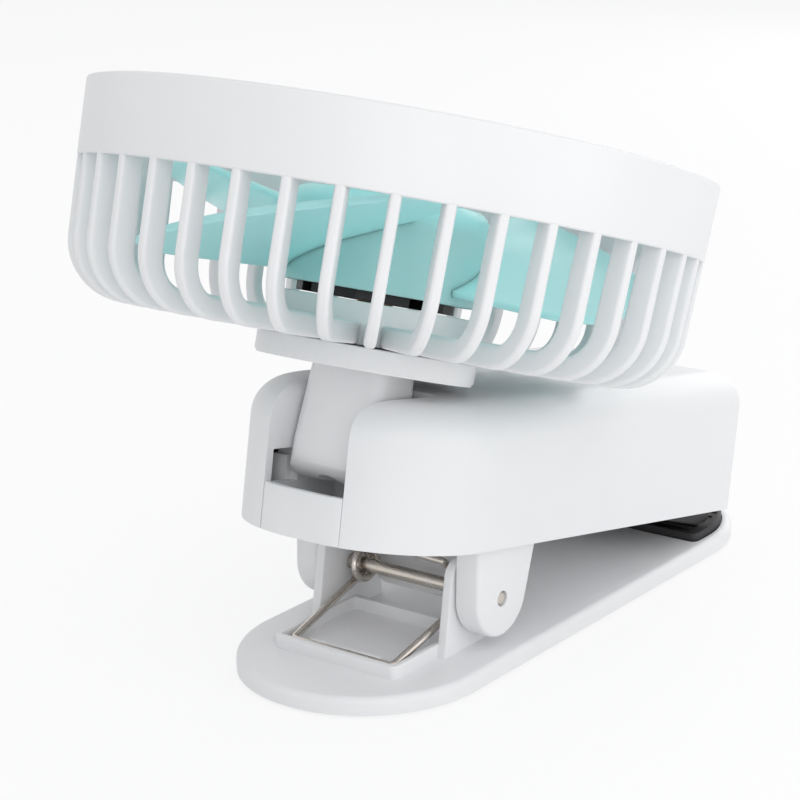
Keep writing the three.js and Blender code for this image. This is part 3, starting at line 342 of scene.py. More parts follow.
class Tree:
    """A shader's node tree, emptied and filled again."""

    def __init__(self, node_tree):
        self.node_tree = node_tree
        node_tree.nodes.clear()

    def node(self, kind, settings=None, inputs=None, output=0):
        made = self.node_tree.nodes.new(kind)
        for name, value in (settings or {}).items():
            setattr(made, name, value)
        for name, value in (inputs or {}).items():
            if isinstance(value, Wire):
                self.node_tree.links.new(value.socket, made.inputs[name])
            else:
                made.inputs[name].default_value = value
        return Wire(self, made.outputs[output])

    def show(self, shader, kind="ShaderNodeOutputMaterial"):
        out = self.node_tree.nodes.new(kind)
        self.node_tree.links.new(shader.socket, out.inputs["Surface"])


class Finish(Tree):
    """A material whose patterns follow the object's own coordinates."""

    def __init__(self, name):
        self.material = bpy.data.materials.new(name)
        self.material.use_nodes = True
        super().__init__(self.material.node_tree)
        self.place = self.node("ShaderNodeTexCoord", output="Object")

    def noise(self, scale, detail=2.0, roughness=0.5, stretch=(1, 1, 1)):
        place = self.node("ShaderNodeMapping", None, {"Vector": self.place, "Scale": stretch})
        return self.node("ShaderNodeTexNoise", None, {
            "Vector": place, "Scale": scale, "Detail": detail, "Roughness": roughness})

    def blend(self, factor, first, second):
        inputs = {0: factor, 6: first, 7: second}
        return self.node("ShaderNodeMix", {"data_type": "RGBA"}, inputs, 2)

    def bump(self, height, strength, depth):
        return self.node("ShaderNodeBump", None, {
            "Height": height, "Strength": strength, "Distance": depth * MILLIMETRE})

    def surface(self, **inputs):
        named = {name.replace("_", " "): value for name, value in inputs.items()}
        self.show(self.node("ShaderNodeBsdfPrincipled", None, named))
        return self.material


def moulded(name, colour, shade, rough, grain=0.25, milky=0.0):
    """Moulded plastic: faint flow marks in the colour, uneven gloss and a fine tool texture.

    A milky one lets light through where it is thin.
    """
    finish = Finish(name)
    flow = finish.noise(26.0, 3.0, 0.55).clear_of(0.35, 0.7)
    handled = finish.noise(90.0, 4.0, 0.6)
    texture = finish.noise(4200.0, 2.0, 0.5)
    waviness = finish.noise(70.0, 1.0, 0.4)
    return finish.surface(
        Base_Color=finish.blend(flow, colour, shade),
        Roughness=handled * 0.12 + (rough - 0.06),
        IOR=1.47,
        Subsurface_Weight=milky,
        Subsurface_Radius=(1.0, 1.0, 1.0),
        Subsurface_Scale=MILK_DEPTH * MILLIMETRE,
        Normal=finish.bump(texture * grain + waviness * 0.6, 0.12, 0.06),
    )


def rubbery(name, colour):
    """Rubber: a matt surface with pores and a dusty bloom."""
    finish = Finish(name)
    bloom = finish.noise(60.0, 5.0, 0.65).clear_of(0.45, 0.8)
    pores = finish.noise(2600.0, 3.0, 0.6)
    return finish.surface(
        Base_Color=finish.blend(bloom * 0.5, colour, BLOOM),
        Roughness=bloom * 0.15 + 0.55,
        IOR=1.5,
        Normal=finish.bump(pores, 0.25, 0.08),
    )


def metal(name, colour, shade, rough, stretch=(1, 1, 1)):
    """Bare or plated metal with drawn or turned lines and slight tarnish."""
    finish = Finish(name)
    tarnish = finish.noise(220.0, 4.0, 0.6).clear_of(0.4, 0.75)
    lines = finish.noise(900.0, 3.0, 0.6, stretch)
    return finish.surface(
        Base_Color=finish.blend(tarnish, colour, shade),
        Metallic=1.0,
        Roughness=lines * 0.14 + (rough - 0.07),
        Normal=finish.bump(lines, 0.12, 0.03),
    )


def circuit(name):
    """Green board: darker laminate with paler tracks under the mask."""
    finish = Finish(name)
    tracks = finish.node("ShaderNodeTexBrick", {"offset": 0.5}, {
        "Vector": finish.place, "Scale": 320.0, "Mortar Size": 0.03}, 1)
    weave = finish.noise(1800.0, 2.0, 0.5)
    return finish.surface(
        Base_Color=finish.blend(tracks, LAMINATE, TRACK),
        Roughness=weave * 0.1 + 0.3,
        Normal=finish.bump(tracks + weave * 0.3, 0.2, 0.05),
    )


def coils(name):
    """Enamelled wire: fine turns side by side, each crest paler as a painted highlight and darker
    between turns as painted shade.
    """
    finish = Finish(name)
    turns = finish.node("ShaderNodeTexWave", {"wave_type": "BANDS", "bands_direction": "Z"}, {
        "Vector": finish.place, "Scale": 900.0, "Distortion": 0.6}, 1)
    return finish.surface(
        # The bands paint a highlight on each turn's crest and shade in the grooves between turns.
        Base_Color=finish.blend(turns, COPPER, COPPER_PAINTED_HIGHLIGHT),
        Metallic=1.0,
        Roughness=0.5 - turns * 0.2,
        Normal=finish.bump(turns, 0.5, 0.1),
    )


def clear_plastic(name):
    """Light guide: frosted, with a faint bluish body."""
    finish = Finish(name)
    cloud = finish.noise(500.0, 3.0, 0.5)
    return finish.surface(
        Base_Color=finish.blend(cloud, LENS, LENS_CLOUD),
        Roughness=cloud * 0.2 + 0.2,
        IOR=1.49,
        Normal=finish.bump(cloud, 0.1, 0.05),
    )


FINISHES = {
    "white_plastic": moulded("white_plastic", WHITE, WHITE_SHADE, 0.40),
    "teal_plastic": moulded("teal_plastic", TEAL, TEAL_SHADE, 0.30, 0.1, milky=0.8),
    "black_rubber": rubbery("black_rubber", RUBBER),
    "nickel_steel": metal("nickel_steel", NICKEL, NICKEL_SHADE, 0.26),
    "core_steel": metal("core_steel", STEEL, STEEL_SHADE, 0.4, TURNED),
    "ferrite": rubbery("ferrite", FERRITE),
    "black_plastic": moulded("black_plastic", BLACK, BLACK_SHADE, 0.45),
    "copper_wire": coils("copper_wire"),
    "bronze": metal("bronze", BRONZE, BRONZE_SHADE, 0.3, DRAWN),
    "board": circuit("board"),
    "cell_wrap": moulded("cell_wrap", WRAP, WRAP_SHADE, 0.3, 0.1),
    "clear_lens": clear_plastic("clear_lens"),
}


def finish_cad_nodes():
    """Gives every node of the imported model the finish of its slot."""
    slots = {entry["node"]: entry["material_slot"] for entry in frame["record"]["subparts"]}
    for name, node in frame["nodes"].items():
        for holder in node.material_slots:
            holder.material = FINISHES[slots[name]]


# ---------------------------------------------------------------- lower jaw
JAW = {"handle": -40.8, "tip": 104.9, "half": 26.8, "handle_radius": 26.3, "tip_radius": 25.5,
       "steps": 24}
JAW_BOTTOM, JAW_TOP, JAW_EDGE = 0.5, 4.1, 1.5
ROOTED = 0.3  # how far a raised form starts below the face that it stands on
MAT_THICKNESS, MAT_INSET = 1.0, 1.4
POCKET_FRONT, POCKET_BACK, POCKET_HALF, POCKET_TOP = -25.8, 0.9, 15.7, 6.8
POCKET_WALL, FRONT_WALL, POCKET_CORNER = 1.3, 1.45, 1.6
STOP_FRONT, STOP_WIDTH, STOP_HALF, STOP_HEIGHT = -22.3, 1.3, 9, 1.9
RISER_INNER, RISER_OUTER, RISER_HEAD = 15.25, 17.4, 8.6
RISER_FRONT, RISER_BACK, RISER_LEAN = -11.6, 10.2, 10.6
MARK_RADIUS, MARK_HEIGHT = 3.2, 0.05
MARK_PLACES = ((-13.3, 11.0), (10.1, 10.4), (-14.5, -5.6), (-6.0, -11.0))
PAD_START, PAD_TOP, PAD_INSET, PAD_CORNER, PAD_SUNK = 73.9, 5.9, 2.3, 1.6, 0.8
LIP_WIDTH, LIP_HEIGHT = 1.0, 0.45
GRIPS, GRIP_START, GRIP_PITCH, GRIP_HALF, GRIP_REACH = 7, 4, 3.2, 0.5, 21.0


def jaw_outline(inset):
    return end_outline(inset, **JAW)


def pad_outline(grow):
    """The tip of the jaw's outline, cut straight across."""
    bm = jaw_outline(PAD_INSET - grow)
    bmesh.ops.bisect_plane(bm, geom=bm.verts[:] + bm.edges[:] + bm.faces[:],
                           plane_co=(PAD_START - grow, 0, 0), plane_no=(-1, 0, 0), clear_outer=True)
    round_corners(bm, sorted(bm.verts, key=lambda v: v.co.x)[:2], PAD_CORNER, 5)
    return bm


def jaw_plate():
    plate = slab(jaw_outline(0), JAW_BOTTOM, JAW_TOP)
    top = [e for e in plate.edges if all(v.co.z > JAW_TOP - 0.01 for v in e.verts)]
    round_edges(plate, top, JAW_EDGE, 6, clamp=False)
    mat_room = slab(jaw_outline(MAT_INSET - GAP), JAW_BOTTOM - 1, MAT_THICKNESS + GAP)
    pad_room = slab(pad_outline(GAP), JAW_TOP - PAD_SUNK, JAW_TOP + 1)
    return worked(plate, "DIFFERENCE", mat_room, pad_room)


def pocket():
    """Low frame that holds the spring's cross bar, and the rib that stops the bar behind."""
    r, w, side = POCKET_CORNER, POCKET_WALL, POCKET_HALF - POCKET_WALL
    frame_plan = rectangle(POCKET_FRONT, POCKET_BACK, -POCKET_HALF, POCKET_HALF, [r, 0, 0, r], 6)
    room_plan = rectangle(POCKET_FRONT + FRONT_WALL, POCKET_BACK - w, -side, side, [0.5] * 4, 3)
    wall = worked(slab(frame_plan, JAW_TOP - ROOTED, POCKET_TOP), "DIFFERENCE",
                  slab(room_plan, JAW_TOP - 1, POCKET_TOP + 1))
    stop = rectangle(STOP_FRONT, STOP_FRONT + STOP_WIDTH, -STOP_HALF, STOP_HALF, [0.6] * 4, 5)
    stop = slab(stop, JAW_TOP - ROOTED, JAW_TOP + STOP_HEIGHT)
    return softened(wall, 0.2, 3), softened(stop, 0.3, 3)


def riser(side):
    """Upright that holds the hinge pin: its front edge leans, its head is rounded."""
    foot, head = JAW_TOP - 0.4, PIN_HEIGHT + RISER_HEAD
    lean = math.tan(math.radians(RISER_LEAN)) * (head - foot)
    face = outline([(RISER_FRONT, foot), (RISER_BACK, foot), (RISER_BACK - 1, head),
                    (RISER_FRONT + lean, head)], [0, 0, 3.0, 3.0], 8)
    y0, y1 = sorted((side * RISER_INNER, side * RISER_OUTER))
    plate = softened(side_slab(face, y0, y1), 0.35, 3, keep=lambda p: p.z > JAW_TOP + 0.2)
    bore = moved(rod_y(PIN_RADIUS + PLAY, -THROUGH, THROUGH, SHARP), z=PIN_HEIGHT)
    return worked(plate, "DIFFERENCE", bore)


def ejector_mark(x, y):
    """Shallow round witness left by the mould."""
    r, low, high = MARK_RADIUS, JAW_TOP - 0.02, JAW_TOP + MARK_HEIGHT
    ring = spun([(r - 0.25, low), (r - 0.1, high), (r + 0.1, high), (r + 0.25, low)], 40)
    return moved(ring, x, y)


def make_lower_jaw():
    marks = [ejector_mark(x, y) for x, y in MARK_PLACES]
    jaw = gathered(jaw_plate(), *pocket(), riser(-1), riser(1), *marks)
    finished(jaw, "jaw_lower", IN_PART, "base", "white_plastic", "lower_jaw")


def make_base_mat():
    mat = softened(slab(jaw_outline(MAT_INSET), 0, MAT_THICKNESS), 0.25, 2)
    finished(mat, "mat_under_jaw", IN_PART, "base", "black_rubber", "base_mat")


def make_lower_pad():
    """Rubber pad with a raised lip and fine grip ribs across its dish."""
    floor = PAD_TOP - LIP_HEIGHT
    pad = slab(pad_outline(0), JAW_TOP - PAD_SUNK + GAP, PAD_TOP)
    dish = slab(pad_outline(-LIP_WIDTH), floor, PAD_TOP + 1)
    pad = softened(worked(pad, "DIFFERENCE", dish), 0.22, 3)
    grips = []
    for k in range(GRIPS):
        x = PAD_START + GRIP_START + GRIP_PITCH * k
        reach = GRIP_REACH - max(0, k - 3) ** 2 * 0.55
        grip = rectangle(x - GRIP_HALF, x + GRIP_HALF, -reach, reach, [GRIP_HALF - 0.05] * 4, 4)
        grips.append(softened(slab(grip, floor - 0.1, PAD_TOP - 0.12), 0.12, 2))
    finished(gathered(pad, *grips), "pad_lower", IN_PART, "base", "black_rubber", "lower_jaw_pad")


def make_hinge_pin():
    pin = rod_y(PIN_RADIUS, -PIN_HALF, PIN_HALF, 0.3, 48)
    finished(pin, "pin_hinge", AT_PIN, "base", "nickel_steel", "hinge_pin")


# ---------------------------------------------------------------- clamp spring
WIRE_RADIUS = 0.8
COIL_RADIUS, COIL_PITCH, COIL_START, COIL_STEPS = 3.05, 2.1, 10.7, 72
LEG_TIP = Vector((-1.9, 6.1))
BENT_LENGTH, BEND_RADIUS, BEND_STEPS = 8.4, 1.7, 8
BAR = Vector((POCKET_FRONT + POCKET_WALL + GAP + WIRE_RADIUS,
              JAW_TOP + GAP + WIRE_RADIUS - PIN_HEIGHT))


def rounded_path(*points):
    """The points with each inner corner turned on an arc."""
    path = [points[0]]
    for before, corner, after in zip(points, points[1:], points[2:]):
        to_before, to_after = (before - corner).normalized(), (after - corner).normalized()
        half = to_before.angle(to_after) / 2
        cut = BEND_RADIUS / math.tan(half)
        start, end = corner + to_before * cut, corner + to_after * cut
        centre = corner + (to_before + to_after).normalized() * (BEND_RADIUS / math.sin(half))
        path += [centre + (start - centre).slerp(end - centre, k / BEND_STEPS)
                 for k in range(BEND_STEPS + 1)]
    return path + [points[-1]]


def spring_side(side):
    """The wire from its bent upper end, round the coil, to the bar in the pocket."""
    leave = math.atan2(LEG_TIP.y, LEG_TIP.x) - math.acos(COIL_RADIUS / LEG_TIP.length)
    arrive = math.atan2(BAR.y, BAR.x) + math.acos(COIL_RADIUS / BAR.length)
    sweep = 2 * math.pi + (leave - arrive) % (2 * math.pi)
    outer = COIL_START + COIL_PITCH * sweep / (2 * math.pi)
    coil = []
    for k in range(COIL_STEPS + 1):
        angle = leave - sweep * k / COIL_STEPS
        y = COIL_START + (outer - COIL_START) * k / COIL_STEPS
        x, z = COIL_RADIUS * math.cos(angle), COIL_RADIUS * math.sin(angle)
        coil.append(Vector((x, side * y, z)))
    top = rounded_path(Vector((LEG_TIP.x, side * (COIL_START - BENT_LENGTH), LEG_TIP.y)),
                       Vector((LEG_TIP.x, side * COIL_START, LEG_TIP.y)), coil[0])
    bottom = rounded_path(coil[-1], Vector((BAR.x, side * outer, BAR.y)), Vector((BAR.x, 0, BAR.y)))
    return top + coil[1:] + bottom[1:-1]


def make_clamp_spring():
    path = spring_side(-1) + spring_side(1)[::-1]
    curve = bpy.data.curves.new("wire", "CURVE")
    curve.dimensions = "3D"
    curve.bevel_depth = WIRE_RADIUS
    curve.bevel_resolution = 6
    curve.use_fill_caps = True
    spline = curve.splines.new("POLY")
    spline.points.add(len(path) - 1)
    for point, place in zip(spline.points, path):
        point.co = (*place, 1)
    holder = bpy.data.objects.new("wire", curve)
    bpy.context.scene.collection.objects.link(holder)
    bm = bmesh.new()
    bm.from_mesh(holder.evaluated_get(bpy.context.evaluated_depsgraph_get()).to_mesh())
    bpy.data.objects.remove(holder)
    bpy.data.curves.remove(curve)
    finished(tidied(bm), "spring_wire", AT_PIN, "base", "nickel_steel", "clamp_spring", sharp=50)


# ---------------------------------------------------------------- housing
HOUSING = {"handle": -38.8, "tip": 86.5, "half": 26.87, "handle_radius": 24.3, "tip_radius": 4.0,
           "steps": 20}
HOUSING_BOTTOM, HOUSING_TOP, TOP_SLOPE = 11.56, 40.75, 0.022
TOP_FILLET, FILLET_STEPS, HOUSING_WALL = 7.5, 12, 1.8
COVER_TOP = HOUSING_BOTTOM + 2.4
SLOT_HALF, SLOT_END, SLOT_FLARE = 9.9, -15.0, 3.2
SLOT_WALL = SLOT_HALF + HOUSING_WALL
PANEL_TOP, PANEL_THICKNESS, PANEL_PLAY = 21.0, 1.7, 0.16
EAR_RADIUS, EAR_HALF, EAR_INNER, EAR_OUTER, EAR_PLAY = 8.0, 10.3, 17.75, 23.5, 0.22
WINDOW_FROM, WINDOW_TO, WINDOW_LOW, WINDOW_TOP = -35.6, -27.4, 20.4, 27.2
POST_HALF, POST_SHOULDER, POST_SADDLE, POST_THICKNESS = 4.8, 25.2, 3.2, 3.8
BRIDGE_HALF, BRIDGE_END = 9.6, -30
SEAT_FRONT, SEAT_BACK, SEAT_BOTTOM = -8.0, 1.5, 7.4
GUARD_HALF, GUARD_BOTTOM, GUARD_FROM, GUARD_TO = 12.6, -4.2, 5.3, 7.3
SOCKET_X, SOCKET_Z, SOCKET_HALF, SOCKET_RISE, SOCKET_ROOM = 47.0, 23.93, 4.47, 1.63, 0.35
BUTTON_X, BUTTON_Z, BUTTON_HALF, BUTTON_RISE, BUTTON_PROUD = 24.0, 24.0, 4.6, 2.3, 0.7
BUTTON_BACK = 0.6  # inside the wall, clear of the switch when the button is pressed
LIGHT_X, LIGHT_HOLE = 35.0, 1.2
WEDGE_HEEL, WEDGE_TIP, WEDGE_HALF, PADS_APART = 62, 83.4, 22.5, 0.4


def housing_outline(inset):
    return end_outline(inset, **HOUSING)


def housing_top(x):
    return HOUSING_TOP + TOP_SLOPE * x


def housing_form(inset, bottom):
    """Walls, rounded top edge and slightly sloping top as rings of the plan, bridged."""
    fillet = TOP_FILLET - inset
    rings = [moved(housing_outline(inset), z=bottom)]
    for k in range(FILLET_STEPS + 1):
        angle = math.pi / 2 * k / FILLET_STEPS
        drop = inset + fillet * (1 - math.sin(angle))
        ring = housing_outline(inset + fillet * (1 - math.cos(angle)))
        for vert in ring.verts:
            vert.co.z = housing_top(vert.co.x) - drop
        rings.append(ring)
    return bridged(rings)


def mirrored(bm):
    """The same shape on the other side of the housing."""
    other = bm.copy()
    bmesh.ops.scale(other, vec=(1, -1, 1), verts=other.verts)
    bmesh.ops.recalc_face_normals(other, faces=other.faces)
    return other


def slot_room():
    """The neck's slot, and what rounds its upper edge on one side."""
    w, f, top = SLOT_HALF, SLOT_FLARE, housing_top(SLOT_END - 10)
    start = HOUSING["handle"] - 5
    room = end_slab(rectangle(-w, w, HOUSING_BOTTOM - 1, top + 5), start, SLOT_END)
    flare = end_slab(rectangle(w - 1, w + f, top - f, top + 5), start, SLOT_END)
    round_edge = turned(rod(f, start - 1, SLOT_END + 1, SHARP, 64), 90, "Y")
    return room, worked(flare, "DIFFERENCE", moved(round_edge, 0, w + f, top - f))


def side_openings():
    """Cutters for the charging socket, the button and the status lamp in the far wall."""
    inner = HOUSING["half"] - HOUSING_WALL
    y0, y1 = inner - 1, inner + 4
    socket = pill(SOCKET_HALF + SOCKET_ROOM, SOCKET_RISE + SOCKET_ROOM)
    button = pill(BUTTON_HALF + GAP, BUTTON_RISE + GAP)
    return (moved(side_slab(socket, y0, y1), SOCKET_X, 0, SOCKET_Z),
            moved(side_slab(button, y0, y1), BUTTON_X, 0, BUTTON_Z),
            moved(rod_y(LIGHT_HOLE, y0, y1, SHARP, 32), LIGHT_X, 0, BUTTON_Z))


def make_housing():
    room, flare = slot_room()
    past = SLOT_WALL + 1
    cavity = worked(housing_form(HOUSING_WALL, HOUSING_BOTTOM - 1), "DIFFERENCE",
                    block(HOUSING["handle"] - 1, SLOT_END + HOUSING_WALL, -SLOT_WALL, SLOT_WALL,
                          COVER_TOP + GAP, 60))
    window = block(WINDOW_FROM, WINDOW_TO, -past, past, WINDOW_LOW, WINDOW_TOP)
    pin_bore = moved(rod_y(PIVOT_RADIUS + PLAY, -past, past, SHARP), PIVOT_X, 0, PIVOT_Z)
    shell = worked(housing_form(0, HOUSING_BOTTOM), "DIFFERENCE", cavity, room, flare,
                   mirrored(flare), window, pin_bore, *side_openings())
    piece = finished(shell, "housing_shell", IN_HOUSING, "clamp_body", "white_plastic",
                     "upper_shell")
    ease_edges(piece, 0.22)


def ear(side):
    """Lug that hangs from the housing round the hinge pin."""
    slope = (EAR_HALF - EAR_RADIUS) / HOUSING_BOTTOM
    foot, top = EAR_RADIUS - slope * EAR_RADIUS * 0.4, HOUSING_BOTTOM + 0.5
    face = outline([(-foot, -EAR_RADIUS), (foot, -EAR_RADIUS), (EAR_HALF, top), (-EAR_HALF, top)],
                   [foot - 0.02, foot - 0.02, 0, 0], 14)
    y0, y1 = sorted((side * EAR_INNER, side * EAR_OUTER))
    lug = softened(side_slab(face, y0, y1), 0.9, 4, keep=lambda p: p.z < HOUSING_BOTTOM)
    bore = rod_y(PIN_RADIUS + EAR_PLAY, -THROUGH, THROUGH, SHARP, 40)
    return worked(lug, "DIFFERENCE", bore)


def slot_panel():
    """Low wall that closes the foot of the slot and follows the housing's round end."""
    low, high = HOUSING_BOTTOM - 1, PANEL_TOP + 1
    ring = worked(slab(housing_outline(0), HOUSING_BOTTOM, PANEL_TOP), "DIFFERENCE",
                  slab(housing_outline(PANEL_THICKNESS), low, high))
    w = SLOT_HALF - PANEL_PLAY
    kept = worked(ring, "INTERSECT", block(HOUSING["handle"] - 1, 0, -w, w, low, high))
    return softened(kept, 0.18, 2, 40)


def pin_post(side):
    """Post behind the slot's wall that carries one end of the neck's pin in its saddle."""
    h, n, foot = POST_HALF, POST_SADDLE, COVER_TOP - ROOTED
    face = outline([(-h, foot), (h, foot), (h, POST_SHOULDER), (n, POST_SHOULDER), (n, PIVOT_Z),
                    (-n, PIVOT_Z), (-n, POST_SHOULDER), (-h, POST_SHOULDER)])
    near = SLOT_WALL + 0.06
    y0, y1 = sorted((side * near, side * (near + POST_THICKNESS)))
    post = softened(side_slab(face, y0, y1), 0.2, 2)
    saddle = moved(rod_y(PIVOT_RADIUS + PLAY, -THROUGH, THROUGH, SHARP), z=PIVOT_Z)
    return moved(worked(post, "DIFFERENCE", saddle), PIVOT_X)


def make_cover():
    """Plate under the housing with its lugs, slot panel, spring seat, guard and pin posts."""
    w, under = BRIDGE_HALF, HOUSING_BOTTOM + 0.5
    plate = slab(housing_outline(HOUSING_WALL + 0.12), HOUSING_BOTTOM, COVER_TOP)
    plate = softened(plate, 0.2, 2, 50)
    bridge = worked(slab(housing_outline(0.3), HOUSING_BOTTOM + 0.02, COVER_TOP), "INTERSECT",
                    block(HOUSING["handle"], BRIDGE_END, -w, w, HOUSING_BOTTOM, COVER_TOP))
    seat = softened(block(SEAT_FRONT, SEAT_BACK, -w, w, SEAT_BOTTOM, under), 0.4, 3)
    guard = rectangle(-GUARD_HALF, GUARD_HALF, GUARD_BOTTOM, under, [3, 3, 0, 0], 8)
    guard = softened(end_slab(guard, GUARD_FROM, GUARD_TO), 0.35, 3)
    cover = gathered(plate, bridge, ear(-1), ear(1), slot_panel(), seat, guard, pin_post(-1),
                     pin_post(1))
    finished(cover, "cover_and_lugs", IN_HOUSING, "clamp_body", "white_plastic", "bottom_cover")


def make_upper_pad():
    """Rubber wedge under the tip, its face flat on the lower pad."""
    pitch = math.radians(HOUSING_PITCH)
    face = PAD_TOP + PADS_APART - PIN_HEIGHT

    def at(x):
        return (face + x * math.sin(pitch)) / math.cos(pitch)

    under = HOUSING_BOTTOM - GAP
    bend = PAD_START / math.cos(pitch) + 3
    wedge = outline([(WEDGE_HEEL, under - 1.0), (bend, at(bend)), (WEDGE_TIP, at(WEDGE_TIP)),
                     (WEDGE_TIP, under), (WEDGE_HEEL, under)])
    wedge = softened(side_slab(wedge, -WEDGE_HALF, WEDGE_HALF), 0.5, 3)
    finished(wedge, "pad_upper", IN_HOUSING, "clamp_body", "black_rubber", "upper_jaw_pad")


def make_button():
    """Power button: a pill with a rounded edge."""
    face = HOUSING["half"] + BUTTON_PROUD
    back = HOUSING["half"] - HOUSING_WALL - BUTTON_BACK
    cap = softened(side_slab(pill(BUTTON_HALF, BUTTON_RISE, 12), back, face), 0.4, 4, 60)
    finished(moved(cap, BUTTON_X, 0, BUTTON_Z), "button_cap", IN_HOUSING, "power_button",
             "white_plastic", "power_button")


# ---------------------------------------------------------------- neck and disc
DISC_RADIUS, DISC_BOTTOM, DISC_TOP, DISC_WALL, DISC_FLOOR = 21.85, -46.5, -42.0, 1.8, 2.1
SCREW_RING, SCREW_ANGLES = 16.2, (30, 150, 270)
SCREW_SHANK, SCREW_HEAD, HEAD_SUNK = 1.2, 2.2, 1.5
NECK_DEPTH, NECK_HALF, NECK_CORNER = 6.3, 9.5, 3.2
KNUCKLE_DEPTH, KNUCKLE_REACH, KNUCKLE_RADIUS = 8.0, 7.2, 5.2
CHANNEL_RADIUS, CHANNEL_DEPTH = 4.6, 1.3
FLANGE_RADIUS, FLANGE_THICKNESS = 12.6, 1.5


def at_screws(make):
    """The shape once at each of the three screws that join disc and drum."""
    angles = [math.radians(degrees) for degrees in SCREW_ANGLES]
    return [moved(make(), SCREW_RING * math.cos(a), SCREW_RING * math.sin(a)) for a in angles]


def neck_section(depth, z, grow=0.0):
    """Rounded rectangle of the neck at a height on the fan's axis."""
    d, w, r = depth + grow, NECK_HALF + grow, NECK_CORNER + grow
    return moved(rectangle(-d, d, -w, w, [r] * 4, 12), z=z)


def make_neck():
    """Column that widens down to a rounded knuckle with a shallow channel along its underside."""
    foot, top = -NECK_LENGTH, DISC_BOTTOM + DISC_FLOOR
    d, r, low = KNUCKLE_DEPTH, KNUCKLE_RADIUS, foot - KNUCKLE_REACH
    column = bridged([neck_section(d, low - 1), neck_section(d, foot),
                      neck_section(NECK_DEPTH, DISC_BOTTOM), neck_section(NECK_DEPTH, top)])
    side = outline([(-d - 1, top + 1), (-d, foot), (-d, low), (d, low), (d, foot),
                    (d + 1, top + 1)], [0, 0, r, r, 0, 0], 16)
    side = side_slab(side, -NECK_HALF, NECK_HALF)
    side = softened(side, 1.2, 5, keep=lambda p: p.z < foot - 0.1)
    channel = turned(rod(CHANNEL_RADIUS, -d - 1, d + 1, SHARP, 64), 90, "Y")
    channel = moved(channel, z=low + CHANNEL_DEPTH - CHANNEL_RADIUS)
    bore = moved(rod_y(PIVOT_RADIUS + PLAY, -THROUGH, THROUGH, SHARP, 40), z=foot)
    column = worked(worked(column, "INTERSECT", side), "DIFFERENCE", channel, bore)
    flange = rod(FLANGE_RADIUS, top + GAP, top + GAP + FLANGE_THICKNESS, 0.2, 64)
    piece = finished(gathered(column, flange), "neck_column", IN_HEAD, "head", "white_plastic",
                     "neck_arm")
    ease_edges(piece, 0.3)


def make_disc():
    """Round mount under the cage with a thin step at its lower edge."""
    r, low, top, floor = DISC_RADIUS, DISC_BOTTOM, DISC_TOP, DISC_BOTTOM + DISC_FLOOR
    cup = spun([(0, low), (r - 0.45, low), (r - 0.35, low + 0.1), (r - 0.35, low + 0.45),
                (r - 0.05, low + 0.5), (r, low + 0.6), (r, top - 0.2), (r - 0.2, top),
                (r - DISC_WALL, top), (r - DISC_WALL, floor), (0, floor)], 128)
    hole = extrude(neck_section(NECK_DEPTH, low - 1, 0.12), (0, 0, top - low + 1))
    heads = at_screws(lambda: rod(SCREW_HEAD, low - 1, low + HEAD_SUNK, SHARP, 32))
    shanks = at_screws(lambda: rod(SCREW_SHANK, low - 1, top, SHARP, 24))
    cup = worked(cup, "DIFFERENCE", hole, *heads, *shanks)
    finished(cup, "disc_mount", IN_HEAD, "head", "white_plastic", "mount_disc")


# ---------------------------------------------------------------- cage
RIM_RADIUS, BAND_RADIUS, BAND_HEIGHT, RIM_WALL, GRILLE_SEAT = 62.5, 61.9, 15.0, 1.2, -4.3
CAGE_WALL, CAGE_BOTTOM, CAGE_CORNER, CAGE_CORNER_RADIUS = 1.8, -41.7, 11.4, 61.1
RIBS, RIB_PHASE, RIB_THICKNESS, RIB_DEPTH, RIB_FLOOR = 40, 1.4, 2.2, 5.0, 4.3
RIB_INNER_CORNER, RIB_EASE = 6.0, 0.8
DRUM_RADIUS, DRUM_TOP, DRUM_WALL, DRUM_BORE = 19.6, -33.6, 1.6, 4.0
BOSS_BOTTOM, BOSS_RADIUS = -44.1, 2.6


def band():
    r, seat, inner, low = BAND_RADIUS, RIM_RADIUS - RIM_WALL, BAND_RADIUS - CAGE_WALL, -BAND_HEIGHT
    return spun([(r - 0.25, low), (r, low + 0.25), (RIM_RADIUS, -0.35), (RIM_RADIUS - 0.1, -0.1),
                 (RIM_RADIUS - 0.35, 0), (seat + 0.1, 0), (seat, -0.1), (seat, GRILLE_SEAT),
                 (inner + 0.35, GRILLE_SEAT), (inner, low + 0.25), (inner + 0.25, low)], 200)


def rib():
    """Side, rounded corner and floor of the cage in one bar with eased edges."""
    side_top, floor, half = -BAND_HEIGHT + 0.9, CAGE_BOTTOM + RIB_FLOOR, RIB_THICKNESS / 2
    root = DRUM_RADIUS - 0.8
    lean = (BAND_RADIUS - CAGE_CORNER_RADIUS) / (-BAND_HEIGHT - CAGE_BOTTOM - CAGE_CORNER)
    foot = CAGE_CORNER_RADIUS - lean * CAGE_CORNER
    face = outline([(root, CAGE_BOTTOM), (foot, CAGE_BOTTOM), (BAND_RADIUS - 0.06, side_top),
                    (BAND_RADIUS - RIB_DEPTH + 0.4, side_top), (foot - RIB_DEPTH, floor),
                    (root, floor)], [0, CAGE_CORNER, 0, 0, RIB_INNER_CORNER, 0], 12)
    bar = side_slab(face, -half, half)
    rim = [e for e in bar.edges if abs(abs(e.verts[0].co.y) - half) < 1e-4
           and abs(e.verts[0].co.y - e.verts[1].co.y) < 1e-4]
    round_edges(bar, rim, RIB_EASE, 5)
    return turned(bar, RIB_PHASE)


def drum():
    d, top, under, bore = DRUM_RADIUS, DRUM_TOP, DRUM_TOP - DRUM_WALL, DRUM_BORE
    return spun([(bore, top), (d - 0.4, top), (d - 0.1, top - 0.12), (d, top - 0.45),
                 (d, CAGE_BOTTOM), (d - DRUM_WALL, CAGE_BOTTOM), (d - DRUM_WALL, under),
                 (bore, under)], 96)


